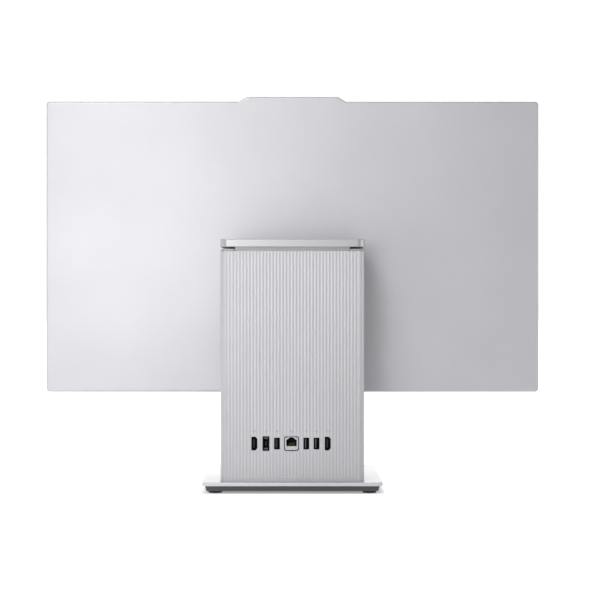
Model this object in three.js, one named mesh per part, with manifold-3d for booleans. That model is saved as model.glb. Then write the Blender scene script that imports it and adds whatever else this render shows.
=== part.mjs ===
// All-in-one desktop computer: a thin display that tilts on an arm, carried by an upright
// column that holds the computer itself, on a weighted base plate.
// Millimetres. +Z is up, the screen faces -Y and the connectors face +Y.
// The origin is the centre of the base footprint, on the table.

import * as THREE from "three";
import { mergeVertices } from "three/addons/utils/BufferGeometryUtils.js";
import Module from "manifold-3d";

const wasm = await Module();
wasm.setup();

// ---------------------------------------------------------------- driving dimensions

const GAP = 0.3; // air between pieces that touch
const ARC_STEPS = 3; // straight stretches in one arc of an outline
const LONG = 1000; // longer than any piece, for cutting tools
const OVER = 1; // how far a cutting tool starts before the face it cuts

// Base
const BASE_WIDTH = 211.8;
const BASE_DEPTH = 200;
const BASE_CORNER = 8;
const PLATE_THICK = 3.4;
const SKIRT_HEIGHT = 6.1;
const SKIRT_FLOOR = 1.8;
const POCKET_CORNER = 4;
const FOOT_HEIGHT = 3.1;
const FOOT_RADIUS = 8;
const FOOT_INSET = 15.4; // from the plate's edges to a foot's centre

// Column
const COLUMN_WIDTH = 168.6;
const COLUMN_REAR = 92; // y of the ribbed face
const COLUMN_DEPTH = 76;
const COLUMN_CORNER = 5.4;
const COLUMN_WALL = 2.2;
const RIB_COUNT = 41;
const RIB_PITCH = 3.893;
const RIB_DEPTH = 0.5;
const RIB_TOP = 283.3;
const RIB_BOTTOM = 17.1;
const COVER_THICK = 3; // rear cover under its ribs

// Arm over the column
const COLLAR_TOP = 286.5;
const ARM_BOTTOM = 288.3;
const ARM_TOP = 297.3;
const NECK_HALF = 67.5;
const NECK_FRONT = 52;
const NECK_RECESS = 4;
const CAP_CORNER = 10;
const CAP_WALL = 2;
const CAP_REAR_WALL = 6;
const BEAM_HALF = 60;
const BEAM_TOP = 292.6;
const CABLE_HALF = 9;

// Openings that run up from the column into the arm
const CABLE_PASS = { half: 16, front: 54, rear: 66 };
const BEAM_PASS = { half: 12, front: 54, rear: 66 };
const AIR_PASS = { half: 46, front: 26, rear: 50 };

// Tilt hinge: an axis along X
const HINGE_Y = -18;
const HINGE_Z = 292.8;
const HINGE_CLEARANCE = 6.5; // from the axis to the arm cover's front edge
const SLEEVE_RADIUS = 4.5;
const PIN_RADIUS = 2.3;
const BORE_RADIUS = 2.65;
const EAR_RADIUS = 5.4;
const SLEEVE_HALF = 40;
const EAR_WIDTH = 11;

// Display
const DISPLAY_WIDTH = 614.4;
const DISPLAY_BOTTOM = 111.2;
const DISPLAY_TOP = 473.6;
const DISPLAY_REAR = -30; // y of the flat back
const DISPLAY_THICK = 15;
const DISPLAY_CORNER = 4.4;
const DISPLAY_BEVEL = 1.8;
const SHELL_WALL = 2;
const FRAME_THICK = 2.7;
const CHIN = 18;
const RIM = 2.4; // border round the glass
const HEADER = 8; // strip over the glass below the camera bump
const HOUSING_DEPTH = 8.3; // from the front face to the back of the panel's steel plate
const BUMP_HEIGHT = 6;
const BUMP_TOP_HALF = 57;
const BUMP_BOTTOM_HALF = 66.7;

// Connectors on the rear of the column
const PORT_Z = 58;
const PORT_FACE = 90.9; // y of the connector mouths
const USB = { width: 6.55, height: 13.5, wall: 0.5, depth: 12 };
const VIDEO = { width: 6.7, height: 15.7, wall: 0.5, depth: 10 };
const POWER = { width: 7.4, height: 16.4, wall: 0.7, depth: 13 };
const NETWORK = { width: 17.2, height: 17, depth: 14 };
const USB_TONGUE = { width: 1.9, height: 11.2 };
const VIDEO_TONGUE = { width: 1.5, height: 11.6 };
const POWER_PIN = { width: 1.4, height: 2.4 };
const SHELL_CORNER = 0.4;
const HOLE_CORNER = 0.6;
const TONGUE_RECESS = 1; // from the mouth back to the tongue's end
const PORT_X = {
  video_in_port: 44.5,
  power_inlet: 30.9,
  usb_port_1: 18,
  network_port: 1,
  usb_port_2: -16.3,
  usb_port_3: -28.3,
  video_out_port: -41.4,
};

// Connectors and buttons on the flanks
const FLANK_Y = 54;
const FLANK_PROUD = 0.9;
const SIDE_USB_A = { width: 6.6, height: 14.9, corner: 0.8, z: 56.6 };
const SIDE_USB_C = { width: 11, height: 5.2, corner: 2.5, z: 72.9 };
const AUDIO = { radius: 3, bore: 1.8, z: 84.9 };
const POWER_BUTTON = { width: 12, height: 4.5, corner: 2.2, z: 98.7 };
const INPUT_BUTTON = { width: 9, height: 4.5, corner: 2.2, z: 89.9 };
const LOCK_SLOT = { width: 3.2, height: 7.2, corner: 0.8, z: 55.5 };
const SIDE_SOCKET_DEPTH = 12;
const BUTTON_DEPTH = 3.6; // of a button's cap, from the flank inwards
const BUTTON_TRAVEL = 0.6;
const SWITCH_DEPTH = 3.4; // from the side board to the end of a button's stem
const SIDE_BOARD_OUTER = 70; // x of the side boards' outer faces

// Computer inside the column
const BOARD_THICK = 1.6;
const BOARD_FRONT = 68;
const BOARD_HALF = 74;
const BOARD_BOTTOM = 24;
const BOARD_TOP = 214;
const PROCESSOR_Z = 88;
const MODULE_Z = 104; // lower end of the memory and storage modules
const FAN_X = -4;
const FAN_Z = 166;
const FAN_CAVITY = 38;
const FAN_FRONT = 26; // y of the fan's inner front wall
const FAN_REAR = 50;
const SPINDLE_RADIUS = 2;
const IMPELLER_RADIUS = 31;
const BLADE_COUNT = 22;
const FIN_COUNT = 20;

// ---------------------------------------------------------------- derived levels

const SKIRT_BOTTOM = FOOT_HEIGHT + GAP;
const SKIRT_TOP = SKIRT_BOTTOM + SKIRT_HEIGHT;
const PLATE_BOTTOM = SKIRT_TOP + GAP;
const PLATE_TOP = PLATE_BOTTOM + PLATE_THICK;
const COLUMN_BOTTOM = PLATE_TOP + GAP;
const COLUMN_FRONT = COLUMN_REAR - COLUMN_DEPTH;
const COLUMN_HALF = COLUMN_WIDTH / 2;
const ARM_FRONT = HINGE_Y + HINGE_CLEARANCE;
const COVER_HALF = (RIB_COUNT * RIB_PITCH) / 2;
const COVER_INNER = COLUMN_REAR - RIB_DEPTH - COVER_THICK;
const DISPLAY_HALF = DISPLAY_WIDTH / 2;
const DISPLAY_FRONT = DISPLAY_REAR - DISPLAY_THICK;
const FRAME_REAR = DISPLAY_FRONT + FRAME_THICK;
const SHELL_FRONT = FRAME_REAR + GAP;
const SHELL_INNER = DISPLAY_REAR - SHELL_WALL;
const BOARD_REAR = BOARD_FRONT + BOARD_THICK;
const CONNECTOR_TIP = COLUMN_HALF + FLANK_PROUD;

// ---------------------------------------------------------------- outlines

function roundedRectangle(left, right, bottom, top, radius = 0) {
  const shape = new THREE.Shape();
  if (radius === 0) {
    shape.moveTo(left, bottom);
    shape.lineTo(right, bottom);
    shape.lineTo(right, top);
    shape.lineTo(left, top);
    return shape;
  }
  shape.moveTo(left + radius, bottom);
  shape.absarc(right - radius, bottom + radius, radius, -Math.PI / 2, 0);
  shape.absarc(right - radius, top - radius, radius, 0, Math.PI / 2);
  shape.absarc(left + radius, top - radius, radius, Math.PI / 2, Math.PI);
  shape.absarc(left + radius, bottom + radius, radius, Math.PI, Math.PI * 1.5);
  return shape;
}

function centredRectangle(width, height, centreX, centreY, radius = 0) {
  const halfWidth = width / 2;
  const halfHeight = height / 2;
  return roundedRectangle(
    centreX - halfWidth, centreX + halfWidth, centreY - halfHeight, centreY + halfHeight, radius,
  );
}

function polygon(points) {
  return new THREE.Shape(points.map(([x, y]) => new THREE.Vector2(x, y)));
}

function circle(x, y, radius) {
  const shape = new THREE.Shape();
  shape.absarc(x, y, radius, 0, Math.PI * 2);
  return shape;
}

// The display seen from the front or back, moved in by an inset, with its camera bump on top.
function displayOutline(inset) {
  const half = DISPLAY_HALF - inset;
  const bottom = DISPLAY_BOTTOM + inset;
  const top = DISPLAY_TOP - inset;
  const radius = Math.max(DISPLAY_CORNER - inset, 1);
  const slope = inset / 2;
  const shape = new THREE.Shape();
  shape.moveTo(-half + radius, bottom);
  shape.absarc(half - radius, bottom + radius, radius, -Math.PI / 2, 0);
  shape.absarc(half - radius, top - radius, radius, 0, Math.PI / 2);
  shape.lineTo(BUMP_BOTTOM_HALF - slope, top);
  shape.lineTo(BUMP_TOP_HALF - slope, top + BUMP_HEIGHT);
  shape.lineTo(-BUMP_TOP_HALF + slope, top + BUMP_HEIGHT);
  shape.lineTo(-BUMP_BOTTOM_HALF + slope, top);
  shape.absarc(-half + radius, top - radius, radius, Math.PI / 2, Math.PI);
  shape.absarc(-half + radius, bottom + radius, radius, Math.PI, Math.PI * 1.5);
  return shape;
}

// ---------------------------------------------------------------- solids

const X = new THREE.Vector3(1, 0, 0);
const Y = new THREE.Vector3(0, 1, 0);
const Z = new THREE.Vector3(0, 0, 1);

// An outline lies in (y, z) for x, in (x, z) for y and in (x, y) for z.
const PLANES = {
  x: new THREE.Matrix4().makeBasis(Y, Z, X),
  y: new THREE.Matrix4().makeBasis(X, Z, Y.clone().negate()),
  z: new THREE.Matrix4(),
};

function solidOf(geometry) {
  geometry.deleteAttribute("normal");
  geometry.deleteAttribute("uv");
  const merged = mergeVertices(geometry, 1e-4);
  return new wasm.Manifold(new wasm.Mesh({
    numProp: 3,
    vertProperties: new Float32Array(merged.attributes.position.array),
    triVerts: new Uint32Array(merged.index.array),
  }));
}

function geometryOf(solid) {
  const mesh = solid.getMesh();
  const geometry = new THREE.BufferGeometry();
  geometry.setAttribute("position", new THREE.BufferAttribute(mesh.vertProperties, 3));
  geometry.setIndex(new THREE.BufferAttribute(mesh.triVerts, 1));
  geometry.computeVertexNormals();
  return geometry;
}

// An outline pushed along an axis between two places. A bevel cuts both its ends back inwards,
// by as much as it is deep unless a rise is given.
function prism(outline, axis, from, to, { bevel = 0, rise = bevel, steps = ARC_STEPS } = {}) {
  const geometry = new THREE.ExtrudeGeometry(outline, {
    depth: to - from - 2 * rise,
    bevelEnabled: bevel > 0,
    bevelThickness: rise,
    bevelSize: bevel,
    bevelOffset: -bevel,
    bevelSegments: 1,
    curveSegments: steps,
  });
  const start = axis === "y" ? -(to - rise) : from + rise;
  geometry.translate(0, 0, start);
  geometry.applyMatrix4(PLANES[axis]);
  return solidOf(geometry);
}

function box(x0, x1, y0, y1, z0, z1) {
  const geometry = new THREE.BoxGeometry(x1 - x0, y1 - y0, z1 - z0);
  geometry.translate((x0 + x1) / 2, (y0 + y1) / 2, (z0 + z1) / 2);
  return solidOf(geometry);
}

function rod(axis, a, b, radius, from, to, steps = 10) {
  return prism(circle(a, b, radius), axis, from, to, { steps });
}

function join(solids) {
  return solids.reduce((whole, piece) => whole.add(piece));
}

function cut(solid, tools) {
  return tools.reduce((whole, tool) => whole.subtract(tool), solid);
}

function range(count) {
  return Array.from({ length: count }, (_, index) => index);
}

// ---------------------------------------------------------------- materials

function finish(color, roughness, metalness) {
  return new THREE.MeshStandardMaterial({ color, roughness, metalness });
}

const silver = finish(0xd3d4d9, 0.42, 0.25);
const darkPlastic = finish(0x55565a, 0.6, 0);
const blackPlastic = finish(0x17171a, 0.5, 0);
const rubber = finish(0x1e1e20, 0.9, 0);
const steel = finish(0xb4b6ba, 0.35, 0.9);
const aluminium = finish(0xc4c6ca, 0.4, 0.8);
const copper = finish(0xb87345, 0.35, 0.9);
const boardGreen = finish(0x1d3a2c, 0.6, 0);
const chipBlack = finish(0x202226, 0.5, 0);
const glass = finish(0x0b0c0f, 0.08, 0);
const cableBlack = finish(0x26262a, 0.7, 0);

const computer = new THREE.Group();

function part(name, solid, material) {
  const mesh = new THREE.Mesh(geometryOf(solid), material);
  mesh.name = name;
  computer.add(mesh);
}

// ---------------------------------------------------------------- base

function basePlate() {
  const outline = centredRectangle(BASE_WIDTH, BASE_DEPTH, 0, 0, BASE_CORNER);
  return prism(outline, "z", PLATE_BOTTOM, PLATE_TOP, { bevel: 0.6 });
}

// The tray under the plate narrows towards the table and is open on top for the weight.
function baseSkirt() {
  const topInset = 3.6;
  const lean = 1.7;
  const wall = 5;
  const outline = centredRectangle(
    BASE_WIDTH - 2 * topInset, BASE_DEPTH - 2 * topInset, 0, 0, BASE_CORNER - topInset,
  );
  const doubled = prism(outline, "z", SKIRT_BOTTOM, SKIRT_TOP + SKIRT_HEIGHT, {
    bevel: lean, rise: SKIRT_HEIGHT - 0.1,
  });
  const above = box(-LONG, LONG, -LONG, LONG, SKIRT_TOP, LONG);
  const inset = topInset + wall;
  const pocket = prism(
    centredRectangle(BASE_WIDTH - 2 * inset, BASE_DEPTH - 2 * inset, 0, 0, POCKET_CORNER),
    "z", SKIRT_BOTTOM + SKIRT_FLOOR, LONG,
  );
  return cut(doubled, [above, pocket]);
}

function baseWeight() {
  const inset = 9;
  const outline = centredRectangle(
    BASE_WIDTH - 2 * inset, BASE_DEPTH - 2 * inset, 0, 0, POCKET_CORNER,
  );
  return prism(outline, "z", SKIRT_BOTTOM + SKIRT_FLOOR + GAP, SKIRT_TOP);
}

function baseFoot(sideX, sideY) {
  const x = sideX * (BASE_WIDTH / 2 - FOOT_INSET);
  const y = sideY * (BASE_DEPTH / 2 - FOOT_INSET);
  return prism(circle(x, y, FOOT_RADIUS), "z", 0, FOOT_HEIGHT, { bevel: 0.4, steps: 10 });
}

part("base_plate", basePlate(), silver);
part("base_skirt", baseSkirt(), darkPlastic);
part("base_weight", baseWeight(), steel);
[[1, 1], [-1, 1], [1, -1], [-1, -1]].forEach(([sideX, sideY], index) => {
  part(`base_foot_${index + 1}`, baseFoot(sideX, sideY), rubber);
});

// ---------------------------------------------------------------- column casing

// What sits in a flank, as an outline in (y, z), grown by a gap for its opening.
function flankOutline({ width, height, corner, z }, grow = 0) {
  return centredRectangle(width + 2 * grow, height + 2 * grow, FLANK_Y, z, corner + grow);
}

function flankHoles(from, to) {
  const left = [
    flankOutline(SIDE_USB_A, GAP),
    flankOutline(SIDE_USB_C, GAP),
    circle(FLANK_Y, AUDIO.z, AUDIO.radius + GAP),
    flankOutline(POWER_BUTTON, GAP),
  ];
  const right = [flankOutline(INPUT_BUTTON, GAP), flankOutline(LOCK_SLOT)];
  return [
    ...left.map((outline) => prism(outline, "x", from, to)),
    ...right.map((outline) => prism(outline, "x", -to, -from)),
  ];
}

function frontVents() {
  const columns = 17;
  const rows = 2;
  const pitch = 8;
  const slot = { width: 3, height: 44 };
  const lowest = 132;
  const rowPitch = 52;
  return range(columns * rows).map((index) => {
    const column = index % columns;
    const row = Math.floor(index / columns);
    const x = (column - (columns - 1) / 2) * pitch;
    const z = lowest + row * rowPitch + slot.height / 2;
    return prism(
      centredRectangle(slot.width, slot.height, x, z, slot.width / 2),
      "y", COLUMN_FRONT - OVER, COLUMN_FRONT + COLUMN_WALL + OVER, { steps: 1 },
    );
  });
}

// Front, both flanks and the rear corners in one wrap, open at the rear for the ribbed cover.
function columnCover() {
  const inner = COLUMN_HALF - COLUMN_WALL;
  const rearWall = 3.6;
  const wrap = prism(
    roundedRectangle(-COLUMN_HALF, COLUMN_HALF, COLUMN_FRONT, COLUMN_REAR, COLUMN_CORNER),
    "z", COLUMN_BOTTOM, RIB_TOP,
  );
  const hollow = prism(
    roundedRectangle(
      -inner, inner, COLUMN_FRONT + COLUMN_WALL, COLUMN_REAR - rearWall, COLUMN_CORNER - COLUMN_WALL,
    ),
    "z", 0, LONG,
  );
  const windowHalf = COVER_HALF + GAP;
  const window = box(
    -windowHalf, windowHalf, COVER_INNER - OVER, LONG, RIB_BOTTOM - GAP, LONG,
  );
  return cut(wrap, [hollow, window, ...flankHoles(inner - OVER, COLUMN_HALF + OVER), ...frontVents()]);
}

// Rounded upright ribs side by side, with a straight inner face.
function ribbedOutline() {
  const valley = COLUMN_REAR - RIB_DEPTH;
  const steps = 4;
  const points = [[COVER_HALF, COVER_INNER], [COVER_HALF, valley]];
  range(RIB_COUNT).forEach((rib) => {
    const start = COVER_HALF - rib * RIB_PITCH;
    range(steps).forEach((step) => {
      const along = (step + 1) / steps;
      const rise = step === steps - 1 ? 0 : Math.sin(along * Math.PI);
      points.push([start - along * RIB_PITCH, valley + RIB_DEPTH * rise]);
    });
  });
  points.push([-COVER_HALF, COVER_INNER]);
  return polygon(points);
}

// A video connector's outline: two corners on one side are cut off.
function dOutline(size, x, z, grow = 0) {
  const half = size.width / 2 + grow;
  const tall = size.height / 2 + grow;
  const chamfer = 2;
  return polygon([
    [x - half, z - tall + chamfer], [x - half + chamfer, z - tall], [x + half, z - tall],
    [x + half, z + tall], [x - half + chamfer, z + tall], [x - half, z + tall - chamfer],
  ]);
}

function portHole(name) {
  const x = PORT_X[name];
  if (name.startsWith("video")) return dOutline(VIDEO, x, PORT_Z, GAP);
  const others = { power_inlet: POWER, network_port: NETWORK };
  const { width, height } = others[name] ?? USB;
  return centredRectangle(width + 2 * GAP, height + 2 * GAP, x, PORT_Z, HOLE_CORNER);
}

function rearCover() {
  const ribbed = prism(ribbedOutline(), "z", RIB_BOTTOM, RIB_TOP);
  const holes = Object.keys(PORT_X).map((name) => (
    prism(portHole(name), "y", COVER_INNER - OVER, LONG, { steps: 1 })
  ));
  return cut(ribbed, holes);
}

function passage({ half, front, rear }, bottom = 0) {
  return box(-half, half, front, rear, bottom, LONG);
}

// Folded sheet steel round the inside of the column, which carries the boards and the arm.
function chassisFrame() {
  const sheet = 1.6;
  const topSheet = 2;
  const half = COLUMN_HALF - COLUMN_WALL - GAP;
  const front = 24;
  const rear = 84;
  const ring = box(-half, half, front, rear, COLUMN_BOTTOM, RIB_TOP);
  const hollow = box(
    -half + sheet, half - sheet, 0, LONG, COLUMN_BOTTOM + sheet, RIB_TOP - topSheet,
  );
  const passages = [CABLE_PASS, AIR_PASS].map((pass) => passage(pass, RIB_TOP - topSheet - OVER));
  return cut(ring, [hollow, ...passages, ...flankHoles(half - sheet - OVER, half + OVER)]);
}

part("column_cover", columnCover(), silver);
part("rear_cover", rearCover(), silver);
part("chassis_frame", chassisFrame(), steel);

// ---------------------------------------------------------------- neck and arm

function columnCollar() {
  const sideInset = 0.5;
  const rearInset = 0.4;
  const half = COLUMN_HALF - sideInset;
  const plate = prism(
    roundedRectangle(-half, half, COLUMN_FRONT, COLUMN_REAR - rearInset, COLUMN_CORNER),
    "z", RIB_TOP + GAP, COLLAR_TOP,
  );
  const notch = box(-NECK_HALF, NECK_HALF, COLUMN_REAR - NECK_RECESS, LONG, 0, LONG);
  return cut(plate, [notch, passage(CABLE_PASS), passage(AIR_PASS)]);
}

function neckBlock() {
  const rear = COLUMN_REAR - NECK_RECESS;
  const block = box(-NECK_HALF, NECK_HALF, NECK_FRONT, rear, COLLAR_TOP + GAP, ARM_BOTTOM - GAP);
  return block.subtract(passage(CABLE_PASS));
}

// Flat cap over the column and the arm, hollow underneath for the beam and the cable.
function armCover() {
  const slab = prism(
    roundedRectangle(-COLUMN_HALF, COLUMN_HALF, ARM_FRONT, COLUMN_REAR, CAP_CORNER),
    "z", ARM_BOTTOM, ARM_TOP, { bevel: 0.5 },
  );
  const half = BEAM_HALF + GAP;
  const ceiling = ARM_TOP - CAP_WALL;
  const cableMouthHalf = CABLE_HALF + GAP;
  const pocket = box(-half, half, ARM_FRONT + CAP_WALL, COLUMN_REAR - CAP_REAR_WALL, 0, ceiling);
  const beamMouth = box(-half, half, -LONG, 0, 0, BEAM_TOP + GAP);
  const cableMouth = box(-cableMouthHalf, cableMouthHalf, -LONG, 0, 0, ceiling);
  return cut(slab, [pocket, beamMouth, cableMouth]);
}

// Steel plate from the neck to the hinge, with the hinge sleeve across its front end.
function armBeam() {
  const front = ARM_FRONT - GAP;
  const rear = COLUMN_REAR - CAP_REAR_WALL - GAP;
  const plate = box(-BEAM_HALF, BEAM_HALF, front, rear, ARM_BOTTOM, BEAM_TOP);
  const web = box(-SLEEVE_HALF, SLEEVE_HALF, HINGE_Y, front + OVER, ARM_BOTTOM + 1, BEAM_TOP);
  const sleeve = rod("x", HINGE_Y, HINGE_Z, SLEEVE_RADIUS, -SLEEVE_HALF, SLEEVE_HALF);
  const bore = rod("x", HINGE_Y, HINGE_Z, BORE_RADIUS, -LONG, LONG);
  return cut(join([plate, web, sleeve]), [bore, passage(BEAM_PASS)]);
}

part("column_collar", columnCollar(), silver);
part("neck_block", neckBlock(), aluminium);
part("arm_cover", armCover(), silver);
part("arm_beam", armBeam(), steel);

// ---------------------------------------------------------------- rear connectors

// A shell, open at the rear, with a tongue standing on its end wall.
function socket(shell, mouth, tongue, depth) {
  const end = PORT_FACE - depth;
  const body = prism(shell, "y", BOARD_REAR + GAP, PORT_FACE, { steps: 1 });
  const cavity = prism(mouth, "y", end, LONG, { steps: 1 });
  const blade = prism(tongue, "y", end - OVER, PORT_FACE - TONGUE_RECESS);
  return body.subtract(cavity).add(blade);
}

// Each connector stands upright, and its tongue is off its middle, towards +X.
function usbPort(x) {
  const { width, height, wall, depth } = USB;
  return socket(
    centredRectangle(width, height, x, PORT_Z, SHELL_CORNER),
    centredRectangle(width - 2 * wall, height - 2 * wall, x, PORT_Z),
    centredRectangle(USB_TONGUE.width, USB_TONGUE.height, x + 1.4, PORT_Z),
    depth,
  );
}

function videoPort(x) {
  const { wall, depth } = VIDEO;
  return socket(
    dOutline(VIDEO, x, PORT_Z),
    dOutline(VIDEO, x, PORT_Z, -wall),
    centredRectangle(VIDEO_TONGUE.width, VIDEO_TONGUE.height, x + 0.4, PORT_Z),
    depth,
  );
}

function powerInlet(x) {
  const { width, height, wall, depth } = POWER;
  const mouthHeight = 12.4;
  return socket(
    centredRectangle(width, height, x, PORT_Z, SHELL_CORNER),
    centredRectangle(width - 2 * wall, mouthHeight, x, PORT_Z),
    centredRectangle(POWER_PIN.width, POWER_PIN.height, x, PORT_Z),
    depth,
  );
}

// The mouth has a stepped top, where the plug's latch goes.
function networkPort(x) {
  const { width, height, depth } = NETWORK;
  const half = 5.8;
  const stepHalf = 3.1;
  const latchHalf = 1.5;
  const floor = PORT_Z - 2.8;
  const shoulder = PORT_Z + 4.1;
  const latch = PORT_Z + 7;
  const mouth = polygon([
    [x - half, floor], [x + half, floor], [x + half, shoulder], [x + stepHalf, shoulder],
    [x + latchHalf, latch], [x - latchHalf, latch], [x - stepHalf, shoulder], [x - half, shoulder],
  ]);
  const shell = centredRectangle(width, height, x, PORT_Z, SHELL_CORNER);
  return prism(shell, "y", BOARD_REAR + GAP, PORT_FACE, { steps: 1 })
    .subtract(prism(mouth, "y", PORT_FACE - depth, LONG));
}

Object.entries(PORT_X).forEach(([name, x]) => {
  if (name.startsWith("usb")) part(name, usbPort(x), steel);
  if (name.startsWith("video")) part(name, videoPort(x), steel);
  if (name === "power_inlet") part(name, powerInlet(x), blackPlastic);
  if (name === "network_port") part(name, networkPort(x), steel);
});

// ---------------------------------------------------------------- flank connectors and buttons

function sideBoard() {
  const front = FLANK_Y - 12;
  const bottom = 44;
  const top = 106;
  const inner = SIDE_BOARD_OUTER - BOARD_THICK;
  return box(inner, SIDE_BOARD_OUTER, front, BOARD_FRONT - 1, bottom, top);
}

function sideSocket(outer, mouth, tongue) {
  const end = CONNECTOR_TIP - SIDE_SOCKET_DEPTH;
  const shell = prism(outer, "x", SIDE_BOARD_OUTER + GAP, CONNECTOR_TIP, { steps: 2 });
  const cavity = prism(mouth, "x", end, LONG, { steps: 2 });
  const blade = prism(tongue, "x", end - OVER, CONNECTOR_TIP - TONGUE_RECESS);
  return shell.subtract(cavity).add(blade);
}

function sideUsbA() {
  const { width, height, z } = SIDE_USB_A;
  return sideSocket(
    flankOutline(SIDE_USB_A),
    centredRectangle(width - 1.4, height - 2.3, FLANK_Y, z),
    centredRectangle(USB_TONGUE.width, USB_TONGUE.height, FLANK_Y + 1.2, z),
  );
}

function sideUsbC() {
  const mouth = { width: 8.9, height: 3.2, corner: 1.5 };
  const tongue = { width: 6.6, height: 0.8 };
  const { z } = SIDE_USB_C;
  return sideSocket(
    flankOutline(SIDE_USB_C),
    centredRectangle(mouth.width, mouth.height, FLANK_Y, z, mouth.corner),
    centredRectangle(tongue.width, tongue.height, FLANK_Y, z),
  );
}

function audioJack() {
  const half = 3.4;
  const bodyTip = COLUMN_HALF - 4.6;
  const body = box(
    SIDE_BOARD_OUTER + GAP, bodyTip, FLANK_Y - half, FLANK_Y + half, AUDIO.z - half, AUDIO.z + half,
  );
  const collar = prism(
    circle(FLANK_Y, AUDIO.z, AUDIO.radius), "x", bodyTip - OVER, CONNECTOR_TIP,
  );
  const end = CONNECTOR_TIP - SIDE_SOCKET_DEPTH;
  const bore = rod("x", FLANK_Y, AUDIO.z, AUDIO.bore, end, LONG, 8);
  return body.add(collar).subtract(bore);
}

// A button is a cap in its opening, with a stem behind it that ends just short of its switch.
function sideButton(shape, side) {
  const capInner = COLUMN_HALF - BUTTON_DEPTH;
  const stemRadius = 1.5;
  const cap = prism(flankOutline(shape), "x", capInner, CONNECTOR_TIP, { bevel: 0.3 });
  const stem = rod(
    "x", FLANK_Y, shape.z, stemRadius, SIDE_BOARD_OUTER + SWITCH_DEPTH, capInner + OVER, 6,
  );
  const button = cap.add(stem);
  return side > 0 ? button : button.mirror([1, 0, 0]);
}

function sideSwitch(z, side) {
  const half = 3;
  const plunger = SIDE_BOARD_OUTER + SWITCH_DEPTH - BUTTON_TRAVEL - GAP;
  const block = box(
    SIDE_BOARD_OUTER + GAP, plunger, FLANK_Y - half, FLANK_Y + half, z - half, z + half,
  );
  return side > 0 ? block : block.mirror([1, 0, 0]);
}

function inputBoard() {
  const front = FLANK_Y - 9;
  const bottom = 82;
  const top = 98;
  const inner = SIDE_BOARD_OUTER - BOARD_THICK;
  return box(-SIDE_BOARD_OUTER, -inner, front, BOARD_FRONT - 1, bottom, top);
}

part("side_board", sideBoard(), boardGreen);
part("side_usb_a_port", sideUsbA(), steel);
part("side_usb_c_port", sideUsbC(), steel);
part("audio_jack", audioJack(), blackPlastic);
part("power_switch", sideSwitch(POWER_BUTTON.z, 1), chipBlack);
part("power_button", sideButton(POWER_BUTTON, 1), silver);
part("input_board", inputBoard(), boardGreen);
part("input_switch", sideSwitch(INPUT_BUTTON.z, -1), chipBlack);
part("input_button", sideButton(INPUT_BUTTON, -1), silver);

// ---------------------------------------------------------------- computer

function mainboard() {
  const plate = box(-BOARD_HALF, BOARD_HALF, BOARD_FRONT, BOARD_REAR, BOARD_BOTTOM, BOARD_TOP);
  const inset = 6;
  const holes = [-1, 1].flatMap((side) => [BOARD_BOTTOM + inset, BOARD_TOP - inset].map((z) => (
    rod("y", side * (BOARD_HALF - inset), z, 1.8, 0, LONG, 6)
  )));
  return cut(plate, holes);
}

// A module lies flat on the rear of the mainboard, over its connectors.
function module(x, width, length, thick) {
  const front = BOARD_REAR + GAP;
  return box(x - width / 2, x + width / 2, front, front + thick, MODULE_Z, MODULE_Z + length);
}

// It presses on the processor, on the front of the mainboard.
function coldPlate() {
  const side = 44;
  const outline = centredRectangle(side, side, 0, PROCESSOR_Z, 3);
  return prism(outline, "y", 61, BOARD_FRONT - GAP);
}

// A heat pipe climbs from the processor plate, spreads outwards and lies on the fin block.
function heatPipe(side) {
  const radius = 2.5;
  const depth = 58.1;
  const path = new THREE.CatmullRomCurve3([
    new THREE.Vector3(side * 8, depth, 70),
    new THREE.Vector3(side * 8, depth, 100),
    new THREE.Vector3(side * 10, depth, 125),
    new THREE.Vector3(side * 22, depth, 175),
    new THREE.Vector3(side * 26, depth, 215),
    new THREE.Vector3(side * 26, depth, 258),
  ]);
  const geometry = new THREE.ExtrudeGeometry(circle(0, 0, radius), {
    steps: 16,
    extrudePath: path,
    curveSegments: 4,
  });
  return solidOf(geometry);
}

// Upright fins on a back plate, so that air from the fan can rise between them.
function heatsink() {
  const half = 45;
  const fin = 0.8;
  const front = 26;
  const plateFront = 52;
  const plateRear = 55.2;
  const bottom = 218;
  const top = 262;
  const pitch = (2 * half - fin) / (FIN_COUNT - 1);
  const gaps = range(FIN_COUNT - 1).flatMap((index) => {
    const left = -half + index * pitch + fin;
    const right = -half + (index + 1) * pitch;
    return [[left, front], [left, plateFront], [right, plateFront], [right, front]];
  });
  const ends = [[half, front], [half, plateRear], [-half, plateRear], [-half, front]];
  const outline = polygon([...ends, ...gaps]);
  return prism(outline, "z", bottom, top);
}

function fanHousing() {
  const wall = 2;
  const half = 46;
  const bottom = 122;
  const top = 216;
  const inletRadius = 24;
  const outletLeft = FAN_X - 20;
  const outer = box(-half, half, FAN_FRONT - wall, FAN_REAR + wall, bottom, top);
  const cavity = rod("y", FAN_X, FAN_Z, FAN_CAVITY, FAN_FRONT, FAN_REAR, 18);
  const outlet = box(outletLeft, FAN_X + FAN_CAVITY, FAN_FRONT, FAN_REAR, FAN_Z, LONG);
  const inlet = rod("y", FAN_X, FAN_Z, inletRadius, 0, FAN_FRONT + OVER, 14);
  const spindle = rod("y", FAN_X, FAN_Z, SPINDLE_RADIUS, 32, FAN_REAR + OVER, 6);
  return cut(outer, [cavity, outlet, inlet]).add(spindle);
}

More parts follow.
